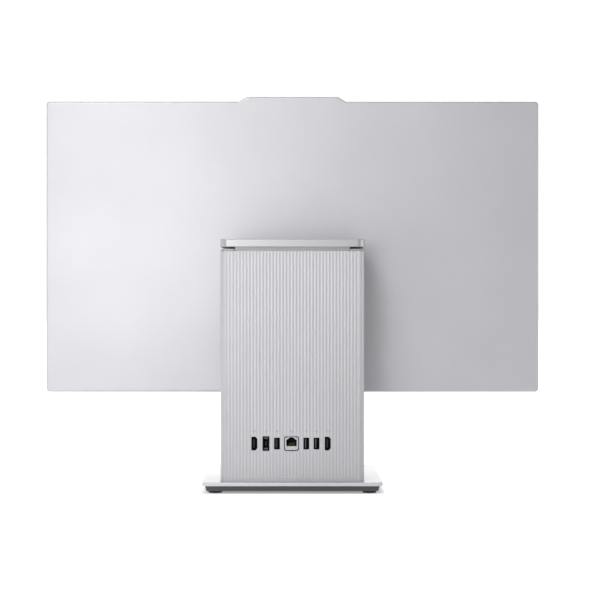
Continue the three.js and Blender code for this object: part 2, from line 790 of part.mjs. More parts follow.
// A blower wheel: hub and disc with blades round the rim, leaning back a little.
function fanImpeller() {
  const rear = 46;
  const hub = rod("y", FAN_X, FAN_Z, 12, 30, rear, 10);
  const disc = rod("y", FAN_X, FAN_Z, IMPELLER_RADIUS, rear - 1.6, rear, 16);
  const blade = { length: 8.6, depth: 15, thick: 1, lean: 0.5 };
  const blades = range(BLADE_COUNT).map((index) => {
    const geometry = new THREE.BoxGeometry(blade.length, blade.depth, blade.thick);
    geometry.rotateY(blade.lean);
    geometry.translate(IMPELLER_RADIUS - 5, rear - 1 - blade.depth / 2, 0);
    geometry.rotateY((index / BLADE_COUNT) * Math.PI * 2);
    geometry.translate(FAN_X, 0, FAN_Z);
    return solidOf(geometry);
  });
  const bore = rod("y", FAN_X, FAN_Z, SPINDLE_RADIUS + GAP, 0, LONG, 6);
  return join([hub, disc, ...blades]).subtract(bore);
}

// A flat lead from the mainboard up through the neck and along the arm to the hinge.
function displayCable() {
  const half = CABLE_HALF;
  const thick = 1.4;
  const y = 60;
  const top = 293.6;
  const bottom = 204;
  const plugHalf = half + 2;
  const rise = box(-half, half, y, y + thick, bottom + 2, top + thick);
  const run = box(-half, half, HINGE_Y + 8, y + thick, top, top + thick);
  const plug = box(-plugHalf, plugHalf, y, BOARD_FRONT - GAP, bottom, bottom + 8);
  return join([rise, run, plug]);
}

part("mainboard", mainboard(), boardGreen);
part("memory_module_1", module(-54, 30, 69.6, 4.3), chipBlack);
part("memory_module_2", module(54, 30, 69.6, 4.3), chipBlack);
part("ssd_module", module(-11, 22, 80, 3.7), chipBlack);
part("cold_plate", coldPlate(), copper);
part("heat_pipe_1", heatPipe(1), copper);
part("heat_pipe_2", heatPipe(-1), copper);
part("heatsink", heatsink(), aluminium);
part("fan_housing", fanHousing(), blackPlastic);
part("fan_impeller", fanImpeller(), blackPlastic);
part("display_cable", displayCable(), cableBlack);

// ---------------------------------------------------------------- display

const SCREEN_HALF = DISPLAY_HALF - RIM;
const SCREEN_BOTTOM = DISPLAY_BOTTOM + RIM;
const SCREEN_TOP = DISPLAY_TOP - RIM;
const HEADER_BOTTOM = SCREEN_TOP - HEADER;
const CHIN_TOP = DISPLAY_BOTTOM + CHIN;
const PANEL_FRONT = DISPLAY_FRONT + 1.6;
const PANEL_REAR = DISPLAY_FRONT + 7;
const HOUSING_FRONT = DISPLAY_FRONT + HOUSING_DEPTH + GAP; // free depth behind the panel
const LENS_Z = DISPLAY_TOP - 1.4;
const LENS_RADIUS = 3;
const SHUTTER_TRAVEL = 9;
const SHUTTER_DEPTH = 1.2;

function displayRearShell() {
  const bevelled = prism(displayOutline(0), "y", DISPLAY_FRONT - 2 * DISPLAY_BEVEL, DISPLAY_REAR, {
    bevel: DISPLAY_BEVEL,
  });
  const front = box(-LONG, LONG, -LONG, SHELL_FRONT, -LONG, LONG);
  const hollow = prism(displayOutline(SHELL_WALL), "y", -LONG, SHELL_INNER);
  return cut(bevelled, [front, hollow, ...screwHoles()]);
}

// Slim rim round the glass, with the camera's header on top.
function displayFrontFrame() {
  const trackHalf = 5;
  const trackHeight = 3.8;
  const rim = prism(displayOutline(0), "y", DISPLAY_FRONT, FRAME_REAR);
  const opening = box(-SCREEN_HALF, SCREEN_HALF, -LONG, LONG, SCREEN_BOTTOM, HEADER_BOTTOM);
  const corner = box(BUMP_BOTTOM_HALF, SCREEN_HALF, -LONG, LONG, SCREEN_BOTTOM, SCREEN_TOP);
  const lens = rod("y", 0, LENS_Z, LENS_RADIUS + GAP, -LONG, LONG, 8);
  const track = box(
    -trackHalf, trackHalf + SHUTTER_TRAVEL, DISPLAY_FRONT - OVER, DISPLAY_FRONT + SHUTTER_DEPTH,
    LENS_Z - trackHeight, LENS_Z + trackHeight,
  );
  return cut(rim, [opening, corner, corner.mirror([1, 0, 0]), lens, track]);
}

// One pane that reaches up past the header on both sides of it.
function frontGlass() {
  const front = DISPLAY_FRONT + 0.2;
  const rear = front + 1.1;
  const bottom = CHIN_TOP - 2 * GAP;
  const half = SCREEN_HALF - GAP;
  const low = box(-half, half, front, rear, bottom, HEADER_BOTTOM - GAP);
  const high = box(BUMP_BOTTOM_HALF + GAP, half, front, rear, bottom, SCREEN_TOP - GAP);
  return join([low, high, high.mirror([1, 0, 0])]);
}

function chinCover() {
  const half = SCREEN_HALF - GAP;
  const outline = roundedRectangle(-half, half, SCREEN_BOTTOM + GAP, CHIN_TOP - 3 * GAP);
  return prism(outline, "y", DISPLAY_FRONT, FRAME_REAR - 2 * GAP, { bevel: 0.3 });
}

function lcdPanel() {
  return box(-302, 302, PANEL_FRONT, PANEL_REAR, CHIN_TOP - 2 * GAP, DISPLAY_TOP - 11);
}

function panelBackPlate() {
  const front = PANEL_REAR + GAP;
  return box(-300, 300, front, DISPLAY_FRONT + HOUSING_DEPTH, CHIN_TOP, DISPLAY_TOP - 14);
}

function hingeSupport() {
  const half = 90;
  const tall = 50;
  const plate = box(-half, half, HOUSING_FRONT, SHELL_INNER - GAP, HINGE_Z - tall, HINGE_Z + tall);
  return cut(plate, screwHoles());
}

function displayBoard() {
  return box(-60, 60, HOUSING_FRONT, HOUSING_FRONT + BOARD_THICK, 150, 184);
}

function speaker(side) {
  const inner = 200;
  const outer = 290;
  const block = box(
    inner, outer, SHELL_FRONT, SHELL_INNER - GAP, SCREEN_BOTTOM + GAP, CHIN_TOP - SHELL_WALL - GAP,
  );
  return side > 0 ? block : block.mirror([1, 0, 0]);
}

function cameraModule() {
  const half = 18;
  const block = box(-half, half, SHELL_FRONT, SHELL_FRONT + 4.7, DISPLAY_TOP - 9, DISPLAY_TOP + 3.6);
  const seat = rod("y", 0, LENS_Z, 2.2, -LONG, FRAME_REAR + 2, 8);
  return block.subtract(seat);
}

function cameraLens() {
  return rod("y", 0, LENS_Z, LENS_RADIUS, DISPLAY_FRONT + SHUTTER_DEPTH + GAP, FRAME_REAR, 8);
}

// Drawn open, beside the lens. It slides towards -X to cover it.
function cameraShutter() {
  const left = -5 + GAP + SHUTTER_TRAVEL;
  const right = 5 - 2 * GAP + SHUTTER_TRAVEL;
  const rear = DISPLAY_FRONT + SHUTTER_DEPTH - GAP;
  const half = 3.5;
  const plate = box(left, right, DISPLAY_FRONT + 0.1, rear, LENS_Z - half, LENS_Z + half);
  const grip = { first: 3, pitch: 1.6, width: 0.6, half: 2.4, proud: 0.3 };
  const grips = range(3).map((index) => {
    const x = left + grip.first + index * grip.pitch;
    const front = DISPLAY_FRONT - grip.proud;
    return box(x, x + grip.width, front, rear, LENS_Z - grip.half, LENS_Z + grip.half);
  });
  return join([plate, ...grips]);
}

// ---------------------------------------------------------------- tilt hinge, display side

const BRACKET_HALF = 64;
const BRACKET_FRONT = DISPLAY_REAR + GAP;
const BRACKET_REAR = BRACKET_FRONT + 2.5;
const BRACKET_BOTTOM = HINGE_Z - 46;
const BRACKET_TOP = HINGE_Z + 7;
const SCREW_X = 57;
const SCREW_LEVELS = [BRACKET_BOTTOM + 7, BRACKET_TOP - 8];
const SCREW_RADIUS = 2;

function screwPlaces() {
  return SCREW_LEVELS.flatMap((z) => [[-SCREW_X, z], [SCREW_X, z]]);
}

function screwHoles() {
  return screwPlaces().map(([x, z]) => rod("y", x, z, SCREW_RADIUS + GAP, -LONG, LONG, 5));
}

// A plate on the display's back, with two ears that hold the ends of the hinge pin.
function hingeBracket() {
  const plate = prism(
    roundedRectangle(-BRACKET_HALF, BRACKET_HALF, BRACKET_BOTTOM, BRACKET_TOP, 5),
    "y", BRACKET_FRONT, BRACKET_REAR,
  );
  const rootHalf = 6.5;
  const sweep = Math.PI * 0.62;
  const ears = [-1, 1].map((side) => {
    const inner = side > 0 ? SLEEVE_HALF + GAP : -SLEEVE_HALF - GAP - EAR_WIDTH;
    const outline = new THREE.Shape();
    outline.moveTo(BRACKET_FRONT + 1, HINGE_Z - rootHalf);
    outline.lineTo(HINGE_Y - 3, HINGE_Z - EAR_RADIUS + 0.6);
    outline.absarc(HINGE_Y, HINGE_Z, EAR_RADIUS, -sweep, sweep);
    outline.lineTo(BRACKET_FRONT + 1, HINGE_Z + rootHalf);
    return prism(outline, "x", inner, inner + EAR_WIDTH);
  });
  const bore = rod("x", HINGE_Y, HINGE_Z, BORE_RADIUS, -LONG, LONG);
  return cut(join([plate, ...ears]), [bore, ...screwHoles()]);
}

function tiltPin() {
  const end = SLEEVE_HALF + GAP + EAR_WIDTH + GAP;
  const head = { radius: 4, length: 1.6 };
  const pin = rod("x", HINGE_Y, HINGE_Z, PIN_RADIUS, -end, end, 8);
  const heads = [-end - head.length, end].map((from) => (
    rod("x", HINGE_Y, HINGE_Z, head.radius, from, from + head.length, 8)
  ));
  return join([pin, ...heads]);
}

function bracketScrew([x, z]) {
  const headRadius = 3.6;
  const headRear = BRACKET_REAR + 2.4;
  const head = prism(circle(x, z, headRadius), "y", BRACKET_REAR + GAP, headRear, {
    bevel: 0.5, steps: 7,
  });
  const shank = rod("y", x, z, SCREW_RADIUS, DISPLAY_REAR - 6, BRACKET_REAR + OVER, 5);
  const drive = rod("y", x, z, 1.4, headRear - 1, LONG, 3);
  return head.add(shank).subtract(drive);
}

part("display_rear_shell", displayRearShell(), silver);
part("display_front_frame", displayFrontFrame(), darkPlastic);
part("front_glass", frontGlass(), glass);
part("chin_cover", chinCover(), silver);
part("lcd_panel", lcdPanel(), chipBlack);
part("panel_back_plate", panelBackPlate(), steel);
part("hinge_support_plate", hingeSupport(), steel);
part("display_board", displayBoard(), boardGreen);
part("speaker_left", speaker(1), blackPlastic);
part("speaker_right", speaker(-1), blackPlastic);
part("camera_module", cameraModule(), chipBlack);
part("camera_lens", cameraLens(), glass);
part("camera_shutter", cameraShutter(), blackPlastic);
part("hinge_bracket", hingeBracket(), steel);
part("tilt_pin", tiltPin(), steel);
screwPlaces().forEach((place, index) => {
  part(`bracket_screw_${index + 1}`, bracketScrew(place), steel);
});

export default computer;
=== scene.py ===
"""Looks of an all-in-one desktop computer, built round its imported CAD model.

Metres, +Z up. The screen faces -Y and the connectors face +Y. The pieces get their places
from the CAD nodes' boxes and from sizes in millimetres.
"""

import math

import bmesh
import bpy
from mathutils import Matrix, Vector


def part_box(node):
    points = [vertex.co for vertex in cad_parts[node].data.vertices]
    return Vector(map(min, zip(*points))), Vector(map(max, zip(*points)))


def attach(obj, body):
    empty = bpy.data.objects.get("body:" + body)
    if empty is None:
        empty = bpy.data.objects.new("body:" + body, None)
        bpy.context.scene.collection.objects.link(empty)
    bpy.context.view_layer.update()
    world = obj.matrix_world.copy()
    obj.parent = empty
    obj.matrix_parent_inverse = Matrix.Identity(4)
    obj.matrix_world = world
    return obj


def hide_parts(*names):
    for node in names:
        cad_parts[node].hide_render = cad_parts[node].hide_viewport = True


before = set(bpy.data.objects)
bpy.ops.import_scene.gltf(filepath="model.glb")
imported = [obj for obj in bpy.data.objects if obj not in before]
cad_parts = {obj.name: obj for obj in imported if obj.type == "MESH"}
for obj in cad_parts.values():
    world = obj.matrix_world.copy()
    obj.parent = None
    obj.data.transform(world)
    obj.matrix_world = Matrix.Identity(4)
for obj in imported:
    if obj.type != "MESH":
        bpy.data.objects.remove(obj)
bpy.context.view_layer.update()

MM = 0.001

# Sizes in millimetres, apart from the counts
RIB_COUNT = 41
RIB_DEPTH = 0.11
RIB_END = 1.4
BUMP_HEIGHT = 6.0
BUMP_TOP_HALF = 57.0
BUMP_BOTTOM_HALF = 66.7
DISPLAY_CORNER = 4.4
DISPLAY_RIM = 2.4
HEADER = 10.4
SHELL_WALL = 2.0
SCREW_HOLE_RADIUS = 2.3
LENS_HOLE_RADIUS = 3.3
CHIN = 18.0
SIDE_BEZEL = 8.2
SHUTTER_TRAVEL = 9.0
BASE_CORNER = 8.0
PLATE_DROP = 0.8
TRAY_CORNER = 4.4
TRAY_LEAN = 1.7
TRAY_WALL = 5.0
COLUMN_CORNER = 5.4
COLUMN_WALL = 2.2
VENT_COLUMNS = 17
VENT_PITCH = 8.0
VENT_WIDTH = 3.0
VENT_HEIGHT = 44.0
VENT_CORNER = 1.49
VENT_LEVELS = (154.0, 206.0)
LOCK_LEVEL = 55.5
MARK_LEVEL = 72.2
PORT_GAP = 0.28
PORT_RIM = 1.0
INLET_GROWTH = 0.25
VIDEO_CHAMFER = 2.1
NETWORK_CORNER = 1.7
COLLAR_DROP = 0.7
CAP_CORNER = 9.0
CAP_ROOF = 2.0


# ------------------------------------------------------------------ outlines and lofts


def inset_corners(corners, inset):
    """The corners of an anticlockwise outline after its sides have moved inwards."""
    moved = []
    for index, corner in enumerate(corners):
        arriving = (corner - corners[index - 1]).normalized()
        leaving = (corners[(index + 1) % len(corners)] - corner).normalized()
        normals = Vector((-arriving.y, arriving.x)) + Vector((-leaving.y, leaving.x))
        moved.append(corner + normals * (2 * inset / normals.length_squared))
    return moved


def outline(corners, radius, inset=0.0, steps=6):
    """Points round an anticlockwise outline with rounded corners. Radius is one or one each."""
    corners = inset_corners([Vector(corner) for corner in corners], inset)
    radii = radius if isinstance(radius, (list, tuple)) else [radius] * len(corners)
    points = []
    for index, corner in enumerate(corners):
        back = (corners[index - 1] - corner).normalized()
        onward = (corners[(index + 1) % len(corners)] - corner).normalized()
        convex = back.x * onward.y - back.y * onward.x < 0
        least = 0.02 * MM
        bend = max(radii[index] - inset if convex else radii[index] + inset, least)
        half = back.angle(onward) / 2
        centre = corner + (back + onward).normalized() * (bend / math.sin(half))
        start = corner + back * (bend / math.tan(half)) - centre
        first = math.atan2(start.y, start.x)
        sweep = (math.pi - 2 * half) * (1 if convex else -1)
        for step in range(steps + 1):
            angle = first + sweep * step / steps
            points.append(centre + Vector((math.cos(angle), math.sin(angle))) * bend)
    return points


def rectangle(left, right, bottom, top):
    return [(left, bottom), (right, bottom), (right, top), (left, top)]


def centred(width, height, u=0.0, v=0.0):
    """The corners of a rectangle, its sizes in millimetres and its centre in metres."""
    across = width * MM / 2
    up = height * MM / 2
    return rectangle(u - across, u + across, v - up, v + up)


def chamfered(left, right, bottom, top, chamfer):
    """The corners of a rectangle whose corners are cut off at 45 degrees."""
    return [
        (left, bottom + chamfer), (left + chamfer, bottom), (right - chamfer, bottom),
        (right, bottom + chamfer), (right, top - chamfer), (right - chamfer, top),
        (left + chamfer, top), (left, top - chamfer),
    ]


def circle(u, v, radius, steps=32):
    return [
        Vector((u + radius * math.cos(angle), v + radius * math.sin(angle)))
        for angle in (2 * math.pi * step / steps for step in range(steps))
    ]


def middle(low, high):
    """The centre of a box."""
    return [(least + most) / 2 for least, most in zip(low, high)]


# An outline lies in (y, z) for x, in (x, z) for y and in (x, y) for z.
PLACE = {
    "x": lambda u, v, level: (level, u, v),
    "y": lambda u, v, level: (u, level, v),
    "z": lambda u, v, level: (u, v, level),
}


def ring(points, axis, level):
    return [PLACE[axis](point[0], point[1], level) for point in points]


def loft(rings, loop=False):
    """A closed skin over rings of equal length, capped at both ends unless it is a loop."""
    bm = bmesh.new()
    grid = [[bm.verts.new(point) for point in points] for points in rings]
    pairs = list(zip(grid, grid[1:]))
    if loop:
        pairs.append((grid[-1], grid[0]))
    for lower, upper in pairs:
        for index in range(len(lower)):
            bm.faces.new((lower[index - 1], lower[index], upper[index], upper[index - 1]))
    if not loop:
        bm.faces.new(grid[0])
        bm.faces.new(grid[-1])
    bmesh.ops.recalc_face_normals(bm, faces=bm.faces)
    return bm


def edge_levels(low, high, low_edge, high_edge, steps=4):
    """(inset, level) pairs up a slab whose two ends are rounded off."""
    levels = []
    turns = [step / steps * math.pi / 2 for step in range(steps + 1)]
    for turn in turns if low_edge else turns[:1]:
        levels.append((low_edge * (1 - math.sin(turn)), low + low_edge * (1 - math.cos(turn))))
    for turn in turns if high_edge else turns[:1]:
        levels.append((high_edge * (1 - math.cos(turn)), high - high_edge * (1 - math.sin(turn))))
    return levels


def slab(corners, radius, axis, low, high, low_edge=0.0, high_edge=0.0, steps=6):
    rings = [
        ring(outline(corners, radius, inset, steps), axis, level)
        for inset, level in edge_levels(low, high, low_edge, high_edge)
    ]
    return loft(rings)


def rod(axis, u, v, radius, low, high, edge=0.0, steps=32):
    rings = [
        ring(circle(u, v, radius - inset, steps), axis, level)
        for inset, level in edge_levels(low, high, edge, edge)
    ]
    return loft(rings)


def tube(outer, inner, axis, low, high, edge=0.0):
    """A frame between two outlines, given as functions of an inset. Its mouth edges are eased."""
    rings = [
        ring(outer(0), axis, low),
        ring(outer(0), axis, high - edge),
        ring(outer(edge), axis, high),
        ring(inner(-edge), axis, high),
        ring(inner(0), axis, high - edge),
        ring(inner(0), axis, low),
    ]
    return loft(rings, loop=True)


def cup(outer, inner, axis, back, floor, mouth, edge=0.0):
    """A hollow body from its back to its mouth, with a floor inside."""
    rings = [
        ring(outer(0), axis, back),
        ring(outer(0), axis, mouth - edge),
        ring(outer(edge), axis, mouth),
        ring(inner(-edge), axis, mouth),
        ring(inner(0), axis, mouth - edge),
        ring(inner(0), axis, floor),
    ]
    return loft(rings)


def merged(parts):
    """Several skins in one mesh."""
    whole = bmesh.new()
    for part in parts:
        mesh = bpy.data.meshes.new("part")
        part.to_mesh(mesh)
        part.free()
        whole.from_mesh(mesh)
        bpy.data.meshes.remove(mesh)
    return whole


def to_object(name, bm):
    mesh = bpy.data.meshes.new(name)
    bm.to_mesh(mesh)
    bm.free()
    result = bpy.data.objects.new(name, mesh)
    bpy.context.scene.collection.objects.link(result)
    return result


def settle(target):
    """Applies the target's modifiers."""
    graph = bpy.context.evaluated_depsgraph_get()
    settled = bpy.data.meshes.new_from_object(target.evaluated_get(graph))
    target.modifiers.clear()
    target.data = settled


def cut(bm, cutter_bm, bevel=0.0):
    """One skin minus another. With a bevel, its sharp edges are eased."""
    target = to_object("target", bm)
    cutter = to_object("cutter", cutter_bm)
    boolean = target.modifiers.new("cut", "BOOLEAN")
    boolean.operation = "DIFFERENCE"
    boolean.solver = "EXACT"
    boolean.object = cutter
    settle(target)
    if bevel:
        ease = target.modifiers.new("ease", "BEVEL")
        ease.width = bevel
        ease.segments = 2
        ease.limit_method = "ANGLE"
        ease.angle_limit = math.radians(50)
        ease.use_clamp_overlap = True
        settle(target)
    result = bmesh.new()
    result.from_mesh(target.data)
    bpy.data.objects.remove(cutter)
    bpy.data.objects.remove(target)
    return result


def piece(name, bm, material, body, replaces=(), smooth=35):
    """A finished piece of the object, shaded smooth up to an angle in degrees."""
    result = to_object(name, bm)
    result.data.materials.clear()
    result.data.materials.append(material)
    result.data.shade_smooth()
    result.data.set_sharp_from_angle(angle=math.radians(smooth))
    weighted = result.modifiers.new("weighted", "WEIGHTED_NORMAL")
    weighted.keep_sharp = True
    weighted.weight = 80
    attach(result, body)
    if replaces:
        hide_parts(*replaces)
    return result


# ------------------------------------------------------------------ materials


def math_node(tree, operation, first, second):
    """An operation on a socket and on a second socket or a number."""
    node = tree.nodes.new("ShaderNodeMath")
    node.operation = operation
    tree.links.new(first, node.inputs[0])
    if isinstance(second, (int, float)):
        node.inputs[1].default_value = second
    else:
        tree.links.new(second, node.inputs[1])
    return node.outputs[0]


def map_range(tree, value, low, high, at_low, at_high, curve="LINEAR"):
    """A value taken from one range to another, and clamped at its ends."""
    node = tree.nodes.new("ShaderNodeMapRange")
    node.interpolation_type = curve
    node.inputs["From Min"].default_value = low
    node.inputs["From Max"].default_value = high
    node.inputs["To Min"].default_value = at_low
    node.inputs["To Max"].default_value = at_high
    tree.links.new(value, node.inputs["Value"])
    return node.outputs["Result"]


def split_place(tree, coordinate):
    """The X, Y and Z sockets of one of the texture coordinates."""
    split = tree.nodes.new("ShaderNodeSeparateXYZ")
    place = tree.nodes.new("ShaderNodeTexCoord").outputs[coordinate]
    tree.links.new(place, split.inputs["Vector"])
    return split.outputs


def to_camera_or_not(tree, given, seen):
    """The light given to the scene, or what the camera sees in its place."""
    node = tree.nodes.new("ShaderNodeMix")
    path = tree.nodes.new("ShaderNodeLightPath").outputs["Is Camera Ray"]
    tree.links.new(path, node.inputs["Factor"])
    tree.links.new(given, node.inputs["A"])
    if isinstance(seen, (int, float)):
        node.inputs["B"].default_value = seen
    else:
        tree.links.new(seen, node.inputs["B"])
    return node.outputs["Result"]


def surface(name, color, roughness, metallic=0.0, grain=1800, bump=0.04, mottle=0.03,
            stretch=(1, 1, 1), wear=0.0, coat=0.0, specular=0.5):
    """A finish with fine grain, slow colour change and, with wear, lighter edges.

    Grain is in cycles per metre and mottle is the share that the colour changes by.
    """
    material = bpy.data.materials.new(name)
    material.use_nodes = True
    tree = material.node_tree
    nodes = tree.nodes
    links = tree.links
    shader = nodes["Principled BSDF"]
    shader.inputs["Metallic"].default_value = metallic
    shader.inputs["Coat Weight"].default_value = coat
    shader.inputs["Specular IOR Level"].default_value = specular
    place = nodes.new("ShaderNodeTexCoord").outputs["Object"]
    if stretch != (1, 1, 1):
        mapping = nodes.new("ShaderNodeMapping")
        mapping.inputs["Scale"].default_value = stretch
        links.new(place, mapping.inputs["Vector"])
        place = mapping.outputs["Vector"]

    def noise(scale, detail):
        texture = nodes.new("ShaderNodeTexNoise")
        texture.inputs["Scale"].default_value = scale
        texture.inputs["Detail"].default_value = detail
        links.new(place, texture.inputs["Vector"])
        return texture.outputs["Fac"]

    def spread(value, low, high):
        return map_range(tree, value, 0.3, 0.7, low, high)

    slow = noise(9, 3)
    fine = noise(grain, 2)
    tint = nodes.new("ShaderNodeMix")
    tint.data_type = "RGBA"
    tint.inputs["A"].default_value = (*[channel * (1 - mottle) for channel in color], 1)
    tint.inputs["B"].default_value = (*[min(channel * (1 + mottle), 1) for channel in color], 1)
    links.new(spread(slow, 0, 1), tint.inputs["Factor"])
    shade = tint.outputs["Result"]
    if wear:
        geometry = nodes.new("ShaderNodeNewGeometry")
        edges = map_range(tree, geometry.outputs["Pointiness"], 0.52, 0.62, 0, wear)
        lighten = nodes.new("ShaderNodeMix")
        lighten.data_type = "RGBA"
        lighten.inputs["B"].default_value = (*[min(channel * 1.25, 1) for channel in color], 1)
        links.new(edges, lighten.inputs["Factor"])
        links.new(shade, lighten.inputs["A"])
        shade = lighten.outputs["Result"]
    links.new(shade, shader.inputs["Base Color"])
    links.new(spread(fine, roughness * 0.92, roughness * 1.08), shader.inputs["Roughness"])
    if bump:
        relief = nodes.new("ShaderNodeBump")
        relief.inputs["Strength"].default_value = bump
        relief.inputs["Distance"].default_value = 0.05 * MM
        links.new(fine, relief.inputs["Height"])
        links.new(relief.outputs["Normal"], shader.inputs["Normal"])
    return material


SILVER = (0.45, 0.45, 0.473)
shell_paint = surface("shell_paint", SILVER, 0.4, 0.5, wear=0.4)
column_paint = surface("column_paint", (0.4, 0.4, 0.418), 0.42, 0.5, bump=0.01, wear=0.3)
wrap_paint = surface("wrap_paint", (0.41, 0.41, 0.428), 0.42, 0.5, bump=0.01)
# A darker copy of the silver paint: painted shade for the collar and neck in the recess under the
# cap.
painted_shade_silver = surface("painted_shade_silver", (0.3, 0.3, 0.312), 0.4, 0.5, wear=0.3)
cap_paint = surface("cap_paint", (0.38, 0.38, 0.394), 0.33, 0.7, wear=0.3)
base_paint = surface("base_paint", (0.53, 0.53, 0.55), 0.34, 0.3, wear=0.3)
dark_plastic = surface(
    "dark_plastic", (0.022, 0.022, 0.024), 0.5, grain=900, bump=0.2, specular=0.3
)
tray_plastic = surface("tray_plastic", (0.058, 0.058, 0.062), 0.5, grain=900, bump=0.25)
black_plastic = surface("black_plastic", (0.012, 0.012, 0.013), 0.45, grain=1200, bump=0.15)
# Near-black dull finish: the own colour of the inlet, the sound jack and the network lining, and
# painted shade on the metal shells of the USB and video sockets, standing in for their dark
# insides.
black_socket_and_painted_shade = surface(
    "black_socket_and_painted_shade", (0.005, 0.005, 0.006), 0.6, grain=1200, bump=0.1, specular=0.12
)
tongue_plastic = surface(
    "tongue_plastic", (0.022, 0.022, 0.024), 0.55, grain=1200, bump=0.1, specular=0.25
)
rubber = surface("rubber", (0.018, 0.018, 0.018), 0.85, grain=1500, bump=0.4)
steel = surface("steel", (0.5, 0.51, 0.53), 0.32, 0.95, grain=500, bump=0.08, stretch=(1, 12, 12))
plating = surface("plating", (0.4, 0.405, 0.42), 0.4, 0.6, grain=900, bump=0.05)
spring_metal = surface("spring_metal", (0.5, 0.5, 0.52), 0.4, 0.8, grain=900, bump=0.04)
pin_metal = surface("pin_metal", (0.1, 0.1, 0.105), 0.5, 0.5, grain=900, bump=0.04)
bar_plastic = surface("bar_plastic", (0.075, 0.075, 0.08), 0.5, grain=1200, bump=0.1)
gold = surface("gold", (0.2, 0.15, 0.08), 0.35, 1.0, grain=900, bump=0.04)
aluminium = surface("aluminium", (0.56, 0.57, 0.59), 0.4, 0.9, grain=700, bump=0.15)
copper = surface("copper", (0.72, 0.38, 0.22), 0.3, 1.0, grain=600, bump=0.05)
board_green = surface("board_green", (0.015, 0.075, 0.045), 0.45, grain=300, bump=0.3, mottle=0.3)
cable_black = surface("cable_black", (0.02, 0.02, 0.022), 0.6, grain=600, bump=0.2)
light_pipe = surface("light_pipe", (0.16, 0.17, 0.15), 0.4, grain=900, bump=0.05, coat=0.3)
print_grey = surface("print_grey", (0.2, 0.2, 0.215), 0.6, grain=900, bump=0.05)
lens_glass = surface("lens_glass", (0.008, 0.008, 0.014), 0.05, grain=500, bump=0.0, coat=1.0)


def screen_material(left, right, bottom, top):
    """Black glass whose lit area is a shade lighter than its printed border."""
    material = surface(
        "screen_glass", (0.004, 0.004, 0.005), 0.12, grain=400, bump=0.0, specular=0.3
    )
    tree = material.node_tree
    shader = tree.nodes["Principled BSDF"]
    place = split_place(tree, "Object")
    across = math_node(
        tree, "MULTIPLY", math_node(tree, "GREATER_THAN", place["X"], left),
        math_node(tree, "LESS_THAN", place["X"], right),
    )
    up = math_node(
        tree, "MULTIPLY", math_node(tree, "GREATER_THAN", place["Z"], bottom),
        math_node(tree, "LESS_THAN", place["Z"], top),
    )
    area = tree.nodes.new("ShaderNodeMix")
    area.data_type = "RGBA"
    border = shader.inputs["Base Color"].links[0].from_socket
    area.inputs["B"].default_value = (0.009, 0.009, 0.012, 1)
    tree.links.new(math_node(tree, "MULTIPLY", across, up), area.inputs["Factor"])
    tree.links.new(border, area.inputs["A"])
    tree.links.new(area.outputs["Result"], shader.inputs["Base Color"])
    return material


# ------------------------------------------------------------------ display


shell_low, shell_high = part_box("display_rear_shell")
front_low, front_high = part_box("display_front_frame")
display_half = shell_high.x
display_bottom = shell_low.z
display_top = shell_high.z - BUMP_HEIGHT * MM
BUMP_CORNERS = [
    (BUMP_BOTTOM_HALF * MM, display_top),
    (BUMP_TOP_HALF * MM, shell_high.z),
    (-BUMP_TOP_HALF * MM, shell_high.z),
    (-BUMP_BOTTOM_HALF * MM, display_top),
]
DISPLAY_CORNERS = [
    (-display_half, display_bottom),
    (display_half, display_bottom),
    (display_half, display_top),
    *BUMP_CORNERS,
    (-display_half, display_top),
]
DISPLAY_RADII = [radius * MM for radius in (*[DISPLAY_CORNER] * 3, *[1.5] * 4, DISPLAY_CORNER)]


def display_outline(inset):
    return outline(DISPLAY_CORNERS, DISPLAY_RADII, inset, steps=8)


def display_back():
    """A shallow pan, open to the front, with its rear edge rounded."""
    wall = SHELL_WALL * MM
    rear = shell_high.y
    front = shell_low.y
    rings = [
        ring(display_outline(wall), "y", rear - wall),
        ring(display_outline(wall), "y", front),
        ring(display_outline(0.2 * MM), "y", front),
    ]
    for inset, level in edge_levels(front + 0.2 * MM, rear, 0, 2.2 * MM, steps=8):
        rings.append(ring(display_outline(inset), "y", level))
    rings.append(ring(display_outline(4 * MM), "y", rear))
    pan = loft(rings)
    places = [middle(*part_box(f"bracket_screw_{number}")) for number in (1, 2, 3, 4)]
    holes = [
        rod("y", x, z, SCREW_HOLE_RADIUS * MM, rear - 5 * MM, rear + 5 * MM)
        for x, _, z in places
    ]
    return cut(pan, merged(holes))


piece(
    "display_back", display_back(), shell_paint, "display",
    ["display_rear_shell"],
)


